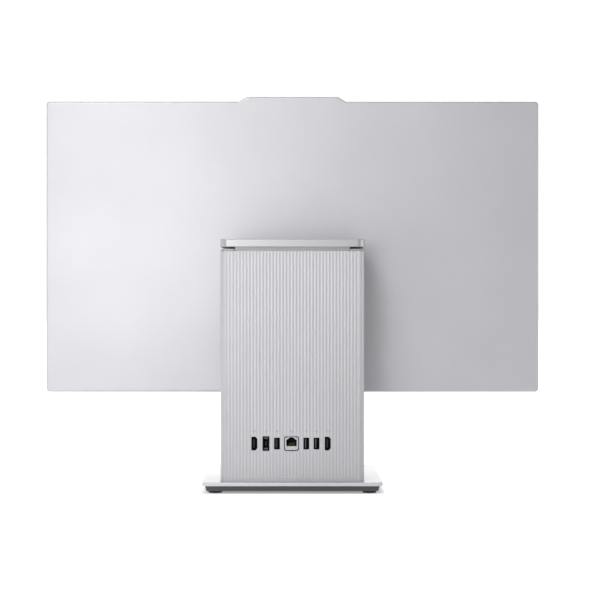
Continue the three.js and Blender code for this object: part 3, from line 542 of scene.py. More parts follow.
def bezel():
    """The rim round the glass, with a header for the camera."""
    rim = DISPLAY_RIM * MM
    header = HEADER * MM
    edge = 0.5 * MM
    inner_half = display_half - rim
    bump = BUMP_BOTTOM_HALF * MM
    opening = [
        (-inner_half, display_bottom + rim), (inner_half, display_bottom + rim),
        (inner_half, display_top - rim), (bump, display_top - rim),
        (bump, display_top - header), (-bump, display_top - header),
        (-bump, display_top - rim), (-inner_half, display_top - rim),
    ]
    inner_radii = [radius * MM for radius in (2.2, 2.2, 2.2, 0.4, 0.4, 0.4, 0.4, 2.2)]

    def inner(inset):
        return outline(opening, inner_radii, inset, steps=8)

    front = front_low.y
    rear = front_high.y
    rings = [
        ring(display_outline(0), "y", rear),
        ring(display_outline(0), "y", front + edge),
        ring(display_outline(0.3 * edge), "y", front + 0.3 * edge),
        ring(display_outline(edge), "y", front),
        ring(inner(-0.2 * MM), "y", front),
        ring(inner(0), "y", front + 0.2 * MM),
        ring(inner(0), "y", rear),
    ]
    lens_low, lens_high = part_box("camera_lens")
    lens_z = (lens_low.z + lens_high.z) / 2
    hole = rod("y", 0, lens_z, LENS_HOLE_RADIUS * MM, front - 5 * MM, rear + 5 * MM, steps=40)
    slide_low, slide_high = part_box("camera_shutter")
    room = 0.3 * MM
    track = slab(
        rectangle(
            slide_low.x - SHUTTER_TRAVEL * MM - room, slide_high.x + room,
            slide_low.z - room, slide_high.z + room,
        ),
        0.8 * MM, "y", front - 3 * MM, slide_high.y + 0.1 * MM,
    )
    return cut(cut(loft(rings, loop=True), hole), track)


piece("display_bezel", bezel(), dark_plastic, "display", ["display_front_frame"])

glass_low, glass_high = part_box("front_glass")


def screen_glass():
    """The glass, which steps down under the camera's header."""
    half = glass_high.x
    bump = (BUMP_BOTTOM_HALF + 0.3) * MM
    step = display_top - (HEADER + 0.3) * MM
    corners = [
        (-half, glass_low.z), (half, glass_low.z), (half, glass_high.z), (bump, glass_high.z),
        (bump, step), (-bump, step), (-bump, glass_high.z), (-half, glass_high.z),
    ]
    radii = [radius * MM for radius in (0.5, 0.5, 2, 0.4, 0.4, 0.4, 0.4, 2)]
    rings = [
        ring(outline(corners, radii, inset, 6), "y", level)
        for inset, level in edge_levels(glass_low.y, glass_high.y, 0.15 * MM, 0.15 * MM, 2)
    ]
    return loft(rings)


active_half = display_half - SIDE_BEZEL * MM
screen_paint = screen_material(
    -active_half, active_half, display_bottom + CHIN * MM,
    display_top - (HEADER + 0.5) * MM,
)
piece("screen_glass", screen_glass(), screen_paint, "display", ["front_glass"])


def chin_panel():
    """The silver strip under the glass."""
    low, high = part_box("chin_cover")
    return slab(
        rectangle(low.x, high.x, low.z, high.z), 0.6 * MM, "y", low.y, high.y, 0.4 * MM, 0.1 * MM,
    )


piece("chin_panel", chin_panel(), shell_paint, "display", ["chin_cover"])


def camera():
    """Lens, its ring and the sliding shutter beside it."""
    low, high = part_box("camera_lens")
    z = (low.z + high.z) / 2
    radius = (high.z - low.z) / 2
    glass_radius = 0.6 * radius
    ring_body = tube(
        lambda inset: circle(0, z, radius - inset, 40),
        lambda inset: circle(0, z, 0.62 * radius + inset, 40),
        "y", high.y, low.y, -0.15 * MM,
    )
    piece("camera_ring", ring_body, black_plastic, "display")
    dome = [ring(circle(0, z, glass_radius, 32), "y", high.y)]
    for turn in (0, 0.3, 0.6, 0.9, 1.2, 1.45):
        level = low.y + (0.35 - 0.3 * math.sin(turn)) * MM
        dome.append(ring(circle(0, z, glass_radius * math.cos(turn), 32), "y", level))
    piece("camera_lens_glass", loft(dome), lens_glass, "display", ["camera_lens"])
    slide_low, slide_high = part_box("camera_shutter")
    plate = slab(
        rectangle(slide_low.x, slide_high.x, slide_low.z, slide_high.z), 0.7 * MM, "y",
        slide_low.y + 0.4 * MM, slide_high.y, 0.2 * MM, 0.1 * MM,
    )
    grips = [
        slab(
            centred(0.7, 4.8, (slide_low.x + slide_high.x) / 2 + offset * MM, z), 0.3 * MM, "y",
            slide_low.y, slide_low.y + 0.6 * MM, 0.2 * MM, 0,
        )
        for offset in (-1.8, 0, 1.8)
    ]
    piece(
        "shutter_slide", merged([plate, *grips]), black_plastic, "camera_shutter",
        ["camera_shutter"],
    )


camera()

# ------------------------------------------------------------------ base

plate_low, plate_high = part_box("base_plate")
skirt_low, skirt_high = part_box("base_skirt")


def base_pieces():
    """The plate, the dark tray under it and its four feet."""
    drop = PLATE_DROP * MM
    top = slab(
        rectangle(plate_low.x, plate_high.x, plate_low.y, plate_high.y), BASE_CORNER * MM, "z",
        plate_low.z - drop, plate_high.z, 0.3 * MM, 0.8 * MM, steps=12,
    )
    piece("base_top", top, base_paint, "stand", ["base_plate"])
    corners = rectangle(skirt_low.x, skirt_high.x, skirt_low.y, skirt_high.y)
    lean = TRAY_LEAN * MM
    bottom = skirt_low.z - drop
    height = skirt_high.z - skirt_low.z

    def level(share, inset):
        return ring(outline(corners, TRAY_CORNER * MM, inset, 10), "z", bottom + share * height)

    wall = TRAY_WALL * MM
    tray = loft([
        level(0.3, wall), level(1, wall), level(1, 0.1 * MM), level(0.97, 0),
        level(0.12, lean - 0.3 * MM), level(0.04, lean), level(0, lean + 0.5 * MM),
    ])
    piece("base_tray", tray, tray_plastic, "stand", ["base_skirt"])
    for number in (1, 2, 3, 4):
        low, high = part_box(f"base_foot_{number}")
        u, v, _ = middle(low, high)
        pad = rod("z", u, v, (high.x - low.x) / 2, low.z, high.z, 0.5 * MM, 48)
        piece(f"foot_pad_{number}", pad, rubber, "stand", [f"base_foot_{number}"])


base_pieces()

# ------------------------------------------------------------------ column

wrap_low, wrap_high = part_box("column_cover")
cover_low, cover_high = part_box("rear_cover")


def flank_openings():
    """Cutters for what stands in the flanks, a little wider than it is."""
    gap = 0.25
    inner = wrap_high.x - 6 * MM
    outer = wrap_high.x + 6 * MM
    openings = []
    for node, radius in (
        ("side_usb_a_port", 1.0), ("side_usb_c_port", 2.7), ("audio_jack", 3.2),
        ("power_button", 2.4), ("input_button", 2.4),
    ):
        low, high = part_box(node)
        width = (high.y - low.y) / MM + 2 * gap
        height = (high.z - low.z) / MM + 2 * gap
        if node == "audio_jack":
            width = height = 6 + 2 * gap
        corners = centred(width, height, *middle(low, high)[1:])
        span = (inner, outer) if high.x > 0 else (-outer, -inner)
        openings.append(slab(corners, radius * MM, "x", *span))
    return openings


def column_wrap():
    """Front, flanks and rear corners in one sleeve, open behind for the ribbed cover."""
    wall = COLUMN_WALL * MM
    sleeve = slab(
        rectangle(wrap_low.x, wrap_high.x, wrap_low.y, wrap_high.y), COLUMN_CORNER * MM, "z",
        plate_high.z + 0.03 * MM, wrap_high.z, 0.1 * MM, 0.3 * MM, steps=12,
    )
    hollow = slab(
        rectangle(
            wrap_low.x + wall, wrap_high.x - wall, wrap_low.y + wall, wrap_high.y - 3.6 * MM,
        ),
        3.2 * MM, "z", wrap_low.z - 0.1, wrap_high.z + 0.1,
    )
    gap = 0.06 * MM
    window = slab(
        rectangle(cover_low.x - gap, cover_high.x + gap, cover_low.z - gap, wrap_high.z + 0.1),
        0.1 * MM, "y", wrap_high.y - 5 * MM, wrap_high.y + 0.1,
    )
    middle = (VENT_COLUMNS - 1) / 2
    slots = [
        slab(
            centred(VENT_WIDTH, VENT_HEIGHT, (column - middle) * VENT_PITCH * MM, level * MM),
            VENT_CORNER * MM, "y", wrap_low.y - 3 * MM, wrap_low.y + 5 * MM,
        )
        for column in range(VENT_COLUMNS)
        for level in VENT_LEVELS
    ]
    power_low, power_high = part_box("power_button")
    lock = slab(
        centred(3.2, 7.2, (power_low.y + power_high.y) / 2, LOCK_LEVEL * MM), 0.8 * MM, "x",
        wrap_low.x - 5 * MM, wrap_low.x + 5 * MM,
    )
    hollowed = cut(sleeve, hollow)
    pierced = cut(hollowed, merged([*slots, lock, *flank_openings()]), bevel=0.25 * MM)
    return cut(pierced, window)


piece("column_wrap", column_wrap(), wrap_paint, "stand", ["column_cover"])


def ribbed_section(strength):
    """The ribbed cover seen from above: grooves between ribs, level with the wrap beside it."""
    steps = 10
    pitch = (cover_high.x - cover_low.x) / RIB_COUNT
    points = [(cover_low.x, cover_low.y), (cover_high.x, cover_low.y)]
    for step in range(RIB_COUNT * steps + 1):
        along = step / steps
        outside = along < 0.5 or along > RIB_COUNT - 0.5
        depth = 0 if outside else (1 + math.cos(along * 2 * math.pi)) / 2
        points.append(
            (cover_high.x - along * pitch, cover_high.y - RIB_DEPTH * MM * depth * strength)
        )
    return points


PORTS = (
    "video_in_port", "power_inlet", "usb_port_1", "network_port", "usb_port_2", "usb_port_3",
    "video_out_port",
)


def port_outline(node, grow):
    """A connector's outline, grown by an even distance in millimetres."""
    low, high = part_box(node)
    if node == "power_inlet":
        grow += INLET_GROWTH
    if node == "network_port":
        corners = chamfered(low.x, high.x, low.z, high.z, NETWORK_CORNER * MM)
        return outline(corners, 0.3 * MM, -grow * MM, steps=3)
    if not node.startswith("video"):
        corners = rectangle(low.x, high.x, low.z, high.z)
        return outline(corners, 0.4 * MM, -grow * MM, steps=5)
    chamfer = VIDEO_CHAMFER * MM
    rise = 1.2 * chamfer
    corners = [
        (low.x, low.z + rise), (low.x + chamfer, low.z), (high.x, low.z),
        (high.x, high.z), (low.x + chamfer, high.z), (low.x, high.z - rise),
    ]
    return outline(corners, 0.15 * MM, -grow * MM, steps=4)


def ribbed_cover():
    """The rear cover, whose ribs fade into a plain edge at both ends."""
    bottom = cover_low.z
    top = cover_high.z
    ends = [(0, 0), (0.08, 0.42), (0.22, 0.7), (0.45, 0.9), (0.7, 0.98), (1, 1)]
    rings = [ring(ribbed_section(rise), "z", bottom + out * RIB_END * MM) for out, rise in ends]
    rings += [
        ring(ribbed_section(rise), "z", top - out * RIB_END * MM) for out, rise in reversed(ends)
    ]
    holes = [
        loft([
            ring(port_outline(node, PORT_GAP), "y", cover_low.y - 5 * MM),
            ring(port_outline(node, PORT_GAP), "y", cover_high.y + 5 * MM),
        ])
        for node in PORTS
    ]
    return cut(loft(rings), merged(holes))


piece(
    "ribbed_cover", ribbed_cover(), column_paint, "stand", ["rear_cover"],
    smooth=50,
)


def port_rims():
    """A thin raised border round each connector's opening."""
    rims = []
    for node in PORTS:
        rims.append(tube(
            lambda inset, node=node: port_outline(node, PORT_RIM - inset / MM),
            lambda inset, node=node: port_outline(node, PORT_GAP + inset / MM),
            "y", cover_high.y - 1.2 * MM, cover_high.y + 0.05 * MM, 0.12 * MM,
        ))
    return merged(rims)


piece("connector_rims", port_rims(), column_paint, "stand")


def rib_surface(x):
    """How far back the ribbed cover reaches at x."""
    pitch = (cover_high.x - cover_low.x) / RIB_COUNT
    along = (cover_high.x - x) / pitch
    return cover_high.y - RIB_DEPTH * MM * (1 + math.cos(along * 2 * math.pi)) / 2


def printed_bar(x, z, left, right, low, high):
    """A bar of ink on the ribs, its edges in millimetres from a mark's centre."""
    steps = max(2, round((right - left) / 0.35))
    rings = []
    for step in range(steps + 1):
        place = x - (left + (right - left) * step / steps) * MM
        back = rib_surface(place)
        corners = rectangle(back - 0.1 * MM, back + 0.02 * MM, z + low * MM, z + high * MM)
        rings.append(ring(corners, "x", place))
    return loft(rings)


def box_bars(left, right, low, high, line=0.26):
    """The four bars of a drawn box."""
    return [
        (left, right, low, low + line), (left, right, high - line, high),
        (left, left + line, low, high), (right - line, right, low, high),
    ]


SCREEN_MARK = box_bars(-1.7, 1.7, -0.5, 1.2) + [(-0.8, 0.8, -1.15, -0.9)]
MARKS = {
    "video_in_port": SCREEN_MARK + [(-3.4, -2.2, 0.2, 0.45), (-2.6, -2.35, -0.1, 0.75)],
    "power_inlet": box_bars(-1.0, 1.0, -1.0, 1.0) + [(-0.2, 0.2, -0.2, 1.3)],
    "usb_port_1": box_bars(-0.9, 0.9, -1.1, 0.3) + [(-0.5, 0.5, 0.3, 1.1)],
    "network_port": box_bars(-0.7, 0.7, 0.2, 1.2) + box_bars(-1.9, -0.7, -1.2, -0.3)
    + box_bars(0.7, 1.9, -1.2, -0.3) + [(-1.4, 1.4, -0.1, 0.1)],
    "usb_port_2": box_bars(-0.9, 0.9, -1.1, 0.3) + [(-0.5, 0.5, 0.3, 1.1)],
    "usb_port_3": box_bars(-0.9, 0.9, -1.1, 0.3) + [(-0.5, 0.5, 0.3, 1.1)],
    "video_out_port": SCREEN_MARK + [(2.2, 3.4, 0.2, 0.45), (3.0, 3.25, -0.1, 0.75)],
}


def marks():
    bars = []
    for node, rows in MARKS.items():
        low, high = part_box(node)
        bars += [printed_bar((low.x + high.x) / 2, MARK_LEVEL * MM, *row) for row in rows]
    return merged(bars)


piece("connector_marks", marks(), print_grey, "stand")


def usb_connector(node):
    """An upright USB-A receptacle: dark shell, tongue on its +X side and four contacts."""
    low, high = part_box(node)
    x, _, z = middle(low, high)
    width = (high.x - low.x) / MM
    height = (high.z - low.z) / MM
    face = high.y
    floor = face - 9 * MM
    # The metal shell gets the near-black finish: painted shade for the dark inside of the socket.
    shell = cup(
        lambda inset: outline(centred(width, height, x, z), 0.6 * MM, inset, 4),
        lambda inset: outline(centred(width - 0.9, height - 0.9, x, z), 0.35 * MM, -inset, 4),
        "y", low.y, floor, face, 0.12 * MM,
    )
    name = node.replace("usb_port_", "usb_connector_")
    piece(name, shell, black_socket_and_painted_shade, "stand", [node])
    wide = node == "usb_port_1"
    thickness = 2.0 if wide else 1.1
    place = x + 0.9 * MM
    tongue = slab(
        centred(thickness, height - 2.6, place, z), 0.25 * MM, "y",
        floor - 0.1 * MM, face - 0.5 * MM, 0, 0.3 * MM,
    )
    tongue_finish = tongue_plastic if wide else bar_plastic
    piece(f"{name}_tongue", tongue, tongue_finish, "stand")
    strips = [
        slab(
            centred(0.2, 1.8, place - (thickness / 2 + 0.08) * MM, z + offset * MM), 0.08 * MM,
            "y", floor, face - 3 * MM, 0, 0.08 * MM,
        )
        for offset in (-3.6, -1.2, 1.2, 3.6)
    ]
    piece(f"{name}_contacts", merged(strips), spring_metal, "stand")


for usb in ("usb_port_1", "usb_port_2", "usb_port_3"):
    usb_connector(usb)


def video_connector(node):
    """A video socket: chamfered shell, dark mouth and a blade with contacts on both sides."""
    low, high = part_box(node)
    x, _, z = middle(low, high)
    blade_x = x + 0.4 * MM
    face = high.y
    floor = face - 8 * MM
    name = node.replace("_port", "_socket")
    # The metal shell gets the near-black finish: painted shade for the dark inside of the socket.
    shell = cup(
        lambda inset: port_outline(node, -inset / MM),
        lambda inset: port_outline(node, -0.55 + inset / MM),
        "y", low.y, floor, face, 0.12 * MM,
    )
    piece(name, shell, black_socket_and_painted_shade, "stand", [node])
    blade = slab(
        centred(1.6, 10.4, blade_x, z), 0.3 * MM, "y",
        floor - 0.1 * MM, face - 0.8 * MM, 0, 0.3 * MM,
    )
    piece(f"{name}_blade", blade, tongue_plastic, "stand")
    strips = [
        slab(
            centred(0.12, 0.55, blade_x + side * 0.84 * MM, z + (step - 4) * 1.1 * MM),
            0.05 * MM, "y", floor, face - 4 * MM, 0, 0.05 * MM,
        )
        for side in (-1, 1)
        for step in range(9)
    ]
    piece(f"{name}_contacts", merged(strips), gold, "stand")


video_connector("video_in_port")
video_connector("video_out_port")


def power_connector():
    """The inlet: a mouth with a grey bar near each end and two flat pins between them."""
    node = "power_inlet"
    low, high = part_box(node)
    x, _, z = middle(low, high)
    face = high.y
    floor = face - 10 * MM
    shell = cup(
        lambda inset: port_outline(node, -inset / MM),
        lambda inset: outline(centred(6.4, 14.8, x, z), 0.4 * MM, -inset, 5),
        "y", low.y, floor, face, 0.12 * MM,
    )
    piece("power_socket", shell, black_socket_and_painted_shade, "stand", [node])
    bars = [
        slab(
            centred(4.9, 1.5, x, z + side * 6.2 * MM), 0.3 * MM, "y",
            floor, face - 0.5 * MM, 0, 0.25 * MM,
        )
        for side in (-1, 1)
    ]
    piece("power_socket_bars", merged(bars), bar_plastic, "stand")
    blades = [
        slab(
            centred(1.9, 0.6, x, z + side * 1.3 * MM), 0.15 * MM, "y",
            floor - 0.1 * MM, face - 1.2 * MM, 0, 0.15 * MM,
        )
        for side in (-1, 1)
    ]
    piece("power_socket_pins", merged(blades), pin_metal, "stand")


power_connector()


def network_connector():
    """The network jack: plated face, roofed mouth, eight springs and two indicator windows."""
    low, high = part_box("network_port")
    x = (low.x + high.x) / 2
    face = high.y
    bottom = low.z
    floor = face - 12 * MM
    half = 6.1 * MM
    mouth = [
        (x - half, bottom + 5.4 * MM), (x + half, bottom + 5.4 * MM),
        (x + half, bottom + 13.0 * MM), (x + 4.4 * MM, bottom + 13.3 * MM),
        (x + 2.2 * MM, bottom + 15.7 * MM), (x - 2.2 * MM, bottom + 15.7 * MM),
        (x - 4.4 * MM, bottom + 13.3 * MM), (x - half, bottom + 13.0 * MM),
    ]
    reveal = 0.7 * MM
    body = slab(
        chamfered(
            low.x + reveal, high.x - reveal, low.z + reveal, high.z - 0.4 * MM,
            (NETWORK_CORNER - 0.2) * MM,
        ),
        0.3 * MM, "y", low.y + 2 * MM, face - 0.1 * MM, 0, 0.2 * MM,
    )
    hollow = slab(mouth, 0.25 * MM, "y", floor, face + 5 * MM)
    windows = [
        slab(
            centred(2.2, 1.4, x + side * 5.6 * MM, high.z - 1.6 * MM), 0.3 * MM, "y",
            face - 0.6 * MM, face + 5 * MM,
        )
        for side in (-1, 1)
    ]
    seam_half = 0.18 * MM
    seams = [
        slab(
            [
                (x + side * 7.2 * MM - seam_half, bottom + 2.0 * MM),
                (x + side * 7.2 * MM + seam_half, bottom + 2.0 * MM),
                (x + side * 5.2 * MM + seam_half, bottom + 4.9 * MM),
                (x + side * 5.2 * MM - seam_half, bottom + 4.9 * MM),
            ],
            0.05 * MM, "y", face - 0.5 * MM, face + 5 * MM,
        )
        for side in (-1, 1)
    ]
    shell = cut(body, merged([hollow, *windows, *seams]), bevel=0.1 * MM)
    piece("network_socket", shell, plating, "stand", ["network_port"])
    surround = tube(
        lambda inset: port_outline("network_port", -inset / MM),
        lambda inset: outline(
            chamfered(
                low.x + 0.6 * MM, high.x - 0.6 * MM, low.z + 0.6 * MM, high.z - 0.3 * MM,
                (NETWORK_CORNER - 0.2) * MM,
            ),
            0.2 * MM, -inset, 3,
        ),
        "y", low.y, face - 0.6 * MM, 0.05 * MM,
    )
    lining = tube(
        lambda inset: outline(mouth, 0.2 * MM, inset + 0.05 * MM, 3),
        lambda inset: outline(mouth, 0.15 * MM, 0.4 * MM - inset, 3),
        "y", floor + 0.05 * MM, face - 0.25 * MM, 0.05 * MM,
    )
    back = loft([
        ring(outline(mouth, 0.2 * MM, 0.42 * MM, 3), "y", floor + 0.05 * MM),
        ring(outline(mouth, 0.2 * MM, 0.42 * MM, 3), "y", floor + 1.5 * MM),
    ])
    piece(
        "network_socket_lining", merged([surround, lining, back]), black_socket_and_painted_shade, "stand",
    )
    spring = [
        (face - 9.5 * MM, bottom + 6.4 * MM), (face - 7 * MM, bottom + 6.4 * MM),
        (face - 7 * MM, bottom + 6.7 * MM), (face - 8.8 * MM, bottom + 10 * MM),
        (face - 9.5 * MM, bottom + 10 * MM),
    ]
    spring_half = 0.2 * MM
    spring_places = [x + (step - 3.5) * 1.02 * MM for step in range(8)]
    springs = [
        slab(spring, 0.08 * MM, "x", place - spring_half, place + spring_half)
        for place in spring_places
    ]
    piece("network_socket_springs", merged(springs), gold, "stand")
    lights = [
        slab(
            centred(2.0, 1.2, x + side * 5.6 * MM, high.z - 1.6 * MM), 0.25 * MM, "y",
            face - 0.58 * MM, face - 0.2 * MM, 0, 0.12 * MM,
        )
        for side in (-1, 1)
    ]
    piece("network_socket_lights", merged(lights), light_pipe, "stand")


network_connector()


def flank_connectors():
    """What stands in the +X flank: an upright USB socket, a small oval one and a sound jack."""
    low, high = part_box("side_usb_a_port")
    _, y, z = middle(low, high)
    face = high.x
    floor = face - 9 * MM
    width = (high.y - low.y) / MM
    height = (high.z - low.z) / MM
    shell = cup(
        lambda inset: outline(centred(width, height, y, z), 0.8 * MM, inset, 4),
        lambda inset: outline(centred(width - 0.9, height - 0.9, y, z), 0.4 * MM, -inset, 4),
        "x", low.x, floor, face, 0.12 * MM,
    )
    piece("side_usb_a_socket", shell, plating, "stand", ["side_usb_a_port"])
    tongue = slab(
        centred(1.9, height - 2.6, y + 1.25 * MM, z), 0.25 * MM, "x",
        floor - 0.1 * MM, face - 0.7 * MM, 0, 0.3 * MM,
    )
    piece("side_usb_a_tongue", tongue, tongue_plastic, "stand")
    low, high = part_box("side_usb_c_port")
    z = (low.z + high.z) / 2
    width = (high.y - low.y) / MM
    height = (high.z - low.z) / MM
    shell = cup(
        lambda inset: outline(centred(width, height, y, z), 2.5 * MM, inset, 8),
        lambda inset: outline(centred(width - 1.5, height - 1.5, y, z), 1.8 * MM, -inset, 8),
        "x", low.x, floor, face, 0.12 * MM,
    )
    piece("side_usb_c_socket", shell, plating, "stand", ["side_usb_c_port"])
    tongue = slab(
        centred(6.6, 0.75, y, z), 0.2 * MM, "x", floor - 0.1 * MM, face - 0.9 * MM, 0, 0.2 * MM,
    )
    piece("side_usb_c_tongue", tongue, tongue_plastic, "stand")
    low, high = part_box("audio_jack")
    z = (low.z + high.z) / 2
    barrel = cup(
        lambda inset: circle(y, z, 3 * MM - inset, 40),
        lambda inset: circle(y, z, 1.8 * MM + inset, 40),
        "x", low.x, floor, face, 0.2 * MM,
    )
    piece("sound_jack", barrel, black_socket_and_painted_shade, "stand", ["audio_jack"])
    liner = tube(
        lambda inset: circle(y, z, 1.78 * MM - inset, 32),
        lambda inset: circle(y, z, 1.6 * MM + inset, 32),
        "x", floor + 0.1 * MM, face - 0.5 * MM, 0.05 * MM,
    )
    piece("sound_jack_liner", liner, plating, "stand")


flank_connectors()


def push_button(node, name):
    """A long rounded key with a dished face, which rides on its own body."""
    low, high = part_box(node)
    side = 1 if high.x > 0 else -1
    _, y, z = middle(low, high)
    width = (high.y - low.y) / MM
    height = (high.z - low.z) / MM
    face = high.x if side > 0 else low.x
    back = low.x if side > 0 else high.x

    def key(inset, level):
        corners = outline(centred(width, height, y, z), 2.2 * MM, inset * MM, 8)
        return ring(corners, "x", level)

    rings = [
        key(0, back), key(0, face - side * 0.5 * MM), key(0.15, face - side * 0.15 * MM),
        key(0.5, face), key(1.1, face), key(1.6, face - side * 0.25 * MM),
    ]
    piece(name, loft(rings), cap_paint, node, [node])


push_button("power_button", "power_key")
push_button("input_button", "input_key")

# ------------------------------------------------------------------ collar, neck and cap


def collar_and_neck():
    """The collar on top of the column, and the narrower neck between it and the cap, both in a
    darker silver that paints the shade under the cap.
    """
    low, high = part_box("column_collar")
    neck_low, neck_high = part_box("neck_block")
    half = neck_high.x
    corners = [
        (low.x, low.y), (high.x, low.y), (high.x, high.y), (half, high.y),
        (half, neck_high.y - 5 * MM), (-half, neck_high.y - 5 * MM), (-half, high.y),
        (low.x, high.y),
    ]
    radii = [radius * MM for radius in (5, 5, 5, 0.6, 0.6, 0.6, 0.6, 5)]
    rings = [
        ring(outline(corners, radii, inset, 8), "z", level)
        for inset, level in edge_levels(low.z, high.z - COLLAR_DROP * MM, 0.2 * MM, 0.6 * MM)
    ]
    cavity = slab(
        rectangle(low.x + 2.2 * MM, high.x - 2.2 * MM, low.y + 2.2 * MM, neck_high.y - 8 * MM),
        3 * MM, "z", low.z - 5 * MM, high.z - 1.5 * MM,
    )
    piece(
        "collar_rim", cut(loft(rings), cavity), painted_shade_silver, "stand",
        ["column_collar"],
    )
    block = slab(
        rectangle(neck_low.x, neck_high.x, neck_low.y, neck_high.y), 0.6 * MM, "z",
        neck_low.z - 0.2 * MM, neck_high.z + 0.25 * MM,
    )
    lip = slab(
        rectangle(
            -half + 0.1 * MM, half - 0.1 * MM, neck_high.y - 4.8 * MM, neck_high.y - 0.1 * MM,
        ),
        0.6 * MM, "z", low.z - 0.2 * MM, neck_low.z + 0.2 * MM,
    )
    piece("neck_spacer", merged([block, lip]), painted_shade_silver, "stand", ["neck_block"])


collar_and_neck()


def cap():
    """The flat tongue on top of the column, open below over the beam that it hides."""
    low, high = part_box("arm_cover")
    beam_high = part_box("arm_beam")[1]
    body = slab(
        rectangle(low.x - 0.8 * MM, high.x + 0.1 * MM, low.y, high.y), CAP_CORNER * MM, "z",
        low.z, high.z, 0.5 * MM, 0.9 * MM, steps=16,
    )
    gap = 0.3 * MM
    half = beam_high.x + gap
    below = low.z - 10 * MM
    pocket = slab(
        rectangle(-half, half, low.y + 2 * MM, beam_high.y + gap), 0.2 * MM, "z",
        below, high.z - CAP_ROOF * MM,
    )
    mouth = slab(
        rectangle(-half, half, low.y - 10 * MM, low.y + 10 * MM), 0.2 * MM, "z",
        below, low.z + 4.6 * MM,
    )
    cable_half = 9.3 * MM
    passage = slab(
        rectangle(-cable_half, cable_half, low.y - 11 * MM, low.y + 11 * MM), 0.2 * MM, "z",
        below, high.z - CAP_ROOF * MM,
    )
    return cut(cut(cut(body, pocket), mouth), passage)


piece("top_cap", cap(), cap_paint, "stand", ["arm_cover"])

# ------------------------------------------------------------------ inner parts and hardware

FINISHES = {
    "base_weight": aluminium,
    "chassis_frame": steel,
    "arm_beam": steel,
    "side_board": board_green,
    "power_switch": black_plastic,
    "input_board": board_green,
    "input_switch": black_plastic,
    "mainboard": board_green,
    "memory_module_1": board_green,
    "memory_module_2": board_green,
    "ssd_module": black_plastic,
    "cold_plate": copper,
    "heat_pipe_1": copper,
    "heat_pipe_2": copper,
    "heatsink": aluminium,
    "fan_housing": black_plastic,
    "fan_impeller": black_plastic,
    "display_cable": cable_black,
    "lcd_panel": black_plastic,
    "panel_back_plate": steel,
    "hinge_support_plate": steel,
    "display_board": board_green,
    "speaker_left": black_plastic,
    "speaker_right": black_plastic,
    "camera_module": black_plastic,
    "hinge_bracket": steel,
    "tilt_pin": steel,
    "bracket_screw_1": steel,
    "bracket_screw_2": steel,
    "bracket_screw_3": steel,
    "bracket_screw_4": steel,
}
EASED = ("hinge_bracket", "tilt_pin", "arm_beam", *[f"bracket_screw_{n}" for n in (1, 2, 3, 4)])
for name, material in FINISHES.items():
    node = bpy.data.objects[name]
    node.data.materials.clear()
    node.data.materials.append(material)
    if name in EASED:
        ease = node.modifiers.new("ease", "BEVEL")
        ease.width = 0.25 * MM
        ease.segments = 2
        ease.limit_method = "ANGLE"
        ease.angle_limit = math.radians(40)

# ------------------------------------------------------------------ stage, light and camera


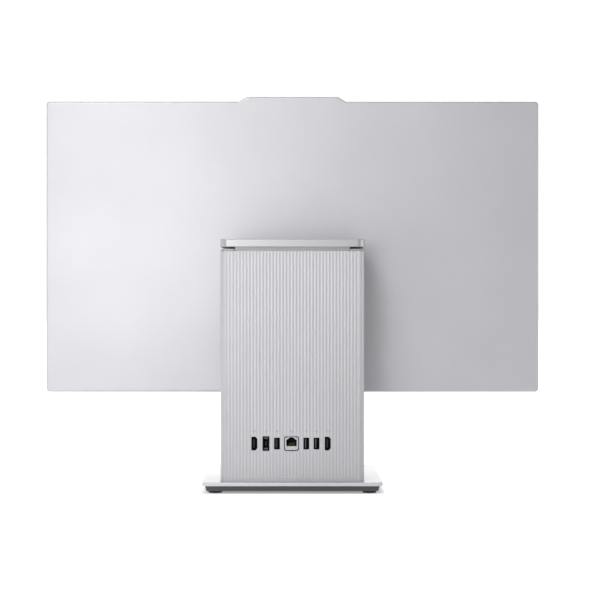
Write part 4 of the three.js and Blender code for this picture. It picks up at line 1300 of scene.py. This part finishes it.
def paper_floor():
    """A white floor that lights the object more from +X. To the camera it shows a painted contact
    shadow, a darker margin round the base.
    """
    reach = 14
    bm = bmesh.new()
    corners = [(-reach, -reach, 0), (reach, -reach, 0), (reach, reach, 0), (-reach, reach, 0)]
    bm.faces.new([bm.verts.new(corner) for corner in corners])
    floor = to_object("floor", bm)
    paper = surface("floor_white", (0.72, 0.72, 0.72), 0.7, grain=200, bump=0.0, mottle=0.004)
    tree = paper.node_tree
    glow = tree.nodes["Principled BSDF"]
    glow.inputs["Emission Color"].default_value = (1, 1, 1, 1)
    place = split_place(tree, "Object")
    bounce = map_range(tree, place["X"], -0.1, 0.8, 0.29, 0.95)
    across = math_node(tree, "SUBTRACT", math_node(tree, "ABSOLUTE", place["X"], 0), plate_high.x)
    along = math_node(tree, "SUBTRACT", math_node(tree, "ABSOLUTE", place["Y"], 0), plate_high.y)
    outside = math_node(tree, "MAXIMUM", across, along)
    # Painted contact shadow: to the camera the floor glows less within 5 mm of the base.
    painted_contact_shadow = map_range(tree, outside, 0, 5 * MM, 0.3, 0.7)
    glow_strength = to_camera_or_not(tree, bounce, painted_contact_shadow)
    tree.links.new(glow_strength, glow.inputs["Emission Strength"])
    floor.data.materials.append(paper)


def studio():
    """A white studio that is brighter in front of the screen and a little towards +X."""
    world = bpy.data.worlds.new("studio")
    world.use_nodes = True
    tree = world.node_tree
    direction = split_place(tree, "Generated")
    front = map_range(tree, direction["Y"], -0.4, 0.1, 1.85, 0.345, "SMOOTHSTEP")
    beside = map_range(tree, direction["X"], 0.3, 0.95, 0, 0.36, "SMOOTHSTEP")
    strength = to_camera_or_not(tree, math_node(tree, "ADD", front, beside), 1.1)
    background = tree.nodes["Background"]
    background.inputs["Color"].default_value = (1, 1, 1, 1)
    tree.links.new(strength, background.inputs["Strength"])
    bpy.context.scene.world = world


def lamp(name, place, aim, width, height, power):
    """A rectangular lamp that faces its aim, with sizes in metres and power in watts."""
    light = bpy.data.lights.new(name, "AREA")
    light.shape = "RECTANGLE"
    light.size = width
    light.size_y = height
    light.energy = power
    result = bpy.data.objects.new(name, light)
    result.location = place
    result.rotation_euler = (Vector(aim) - Vector(place)).to_track_quat("-Z", "Y").to_euler()
    bpy.context.scene.collection.objects.link(result)


paper_floor()
studio()
lamp("key", (0.5, 1.6, 1.4), (0.1, 0, 0.4), 0.6, 0.6, 16)
lamp("front", (0.35, 2.0, 0.45), (0, 0, 0.35), 0.35, 0.35, 3.5)
lamp("low", (0.45, 1.6, 0.2), (0.1, 0, 0.3), 0.3, 0.3, 1.5)
lamp("edge", (-1.5, 0.45, 0.32), (-0.08, 0.09, 0.29), 0.8, 0.3, 2.0)

camera_data = bpy.data.cameras.new("camera")
camera_data.lens = 96.1
camera_data.sensor_width = 36
camera_data.shift_x = 0.00355
camera_data.shift_y = 0.00456
camera_data.clip_start = 0.05
camera_object = bpy.data.objects.new("camera", camera_data)
camera_object.location = (-0.0018, 1.941, 0.2275)
camera_object.rotation_euler = (math.radians(90), 0, math.radians(180))
bpy.context.scene.collection.objects.link(camera_object)
bpy.context.scene.camera = camera_object
bpy.context.scene.view_settings.view_transform = "Standard"
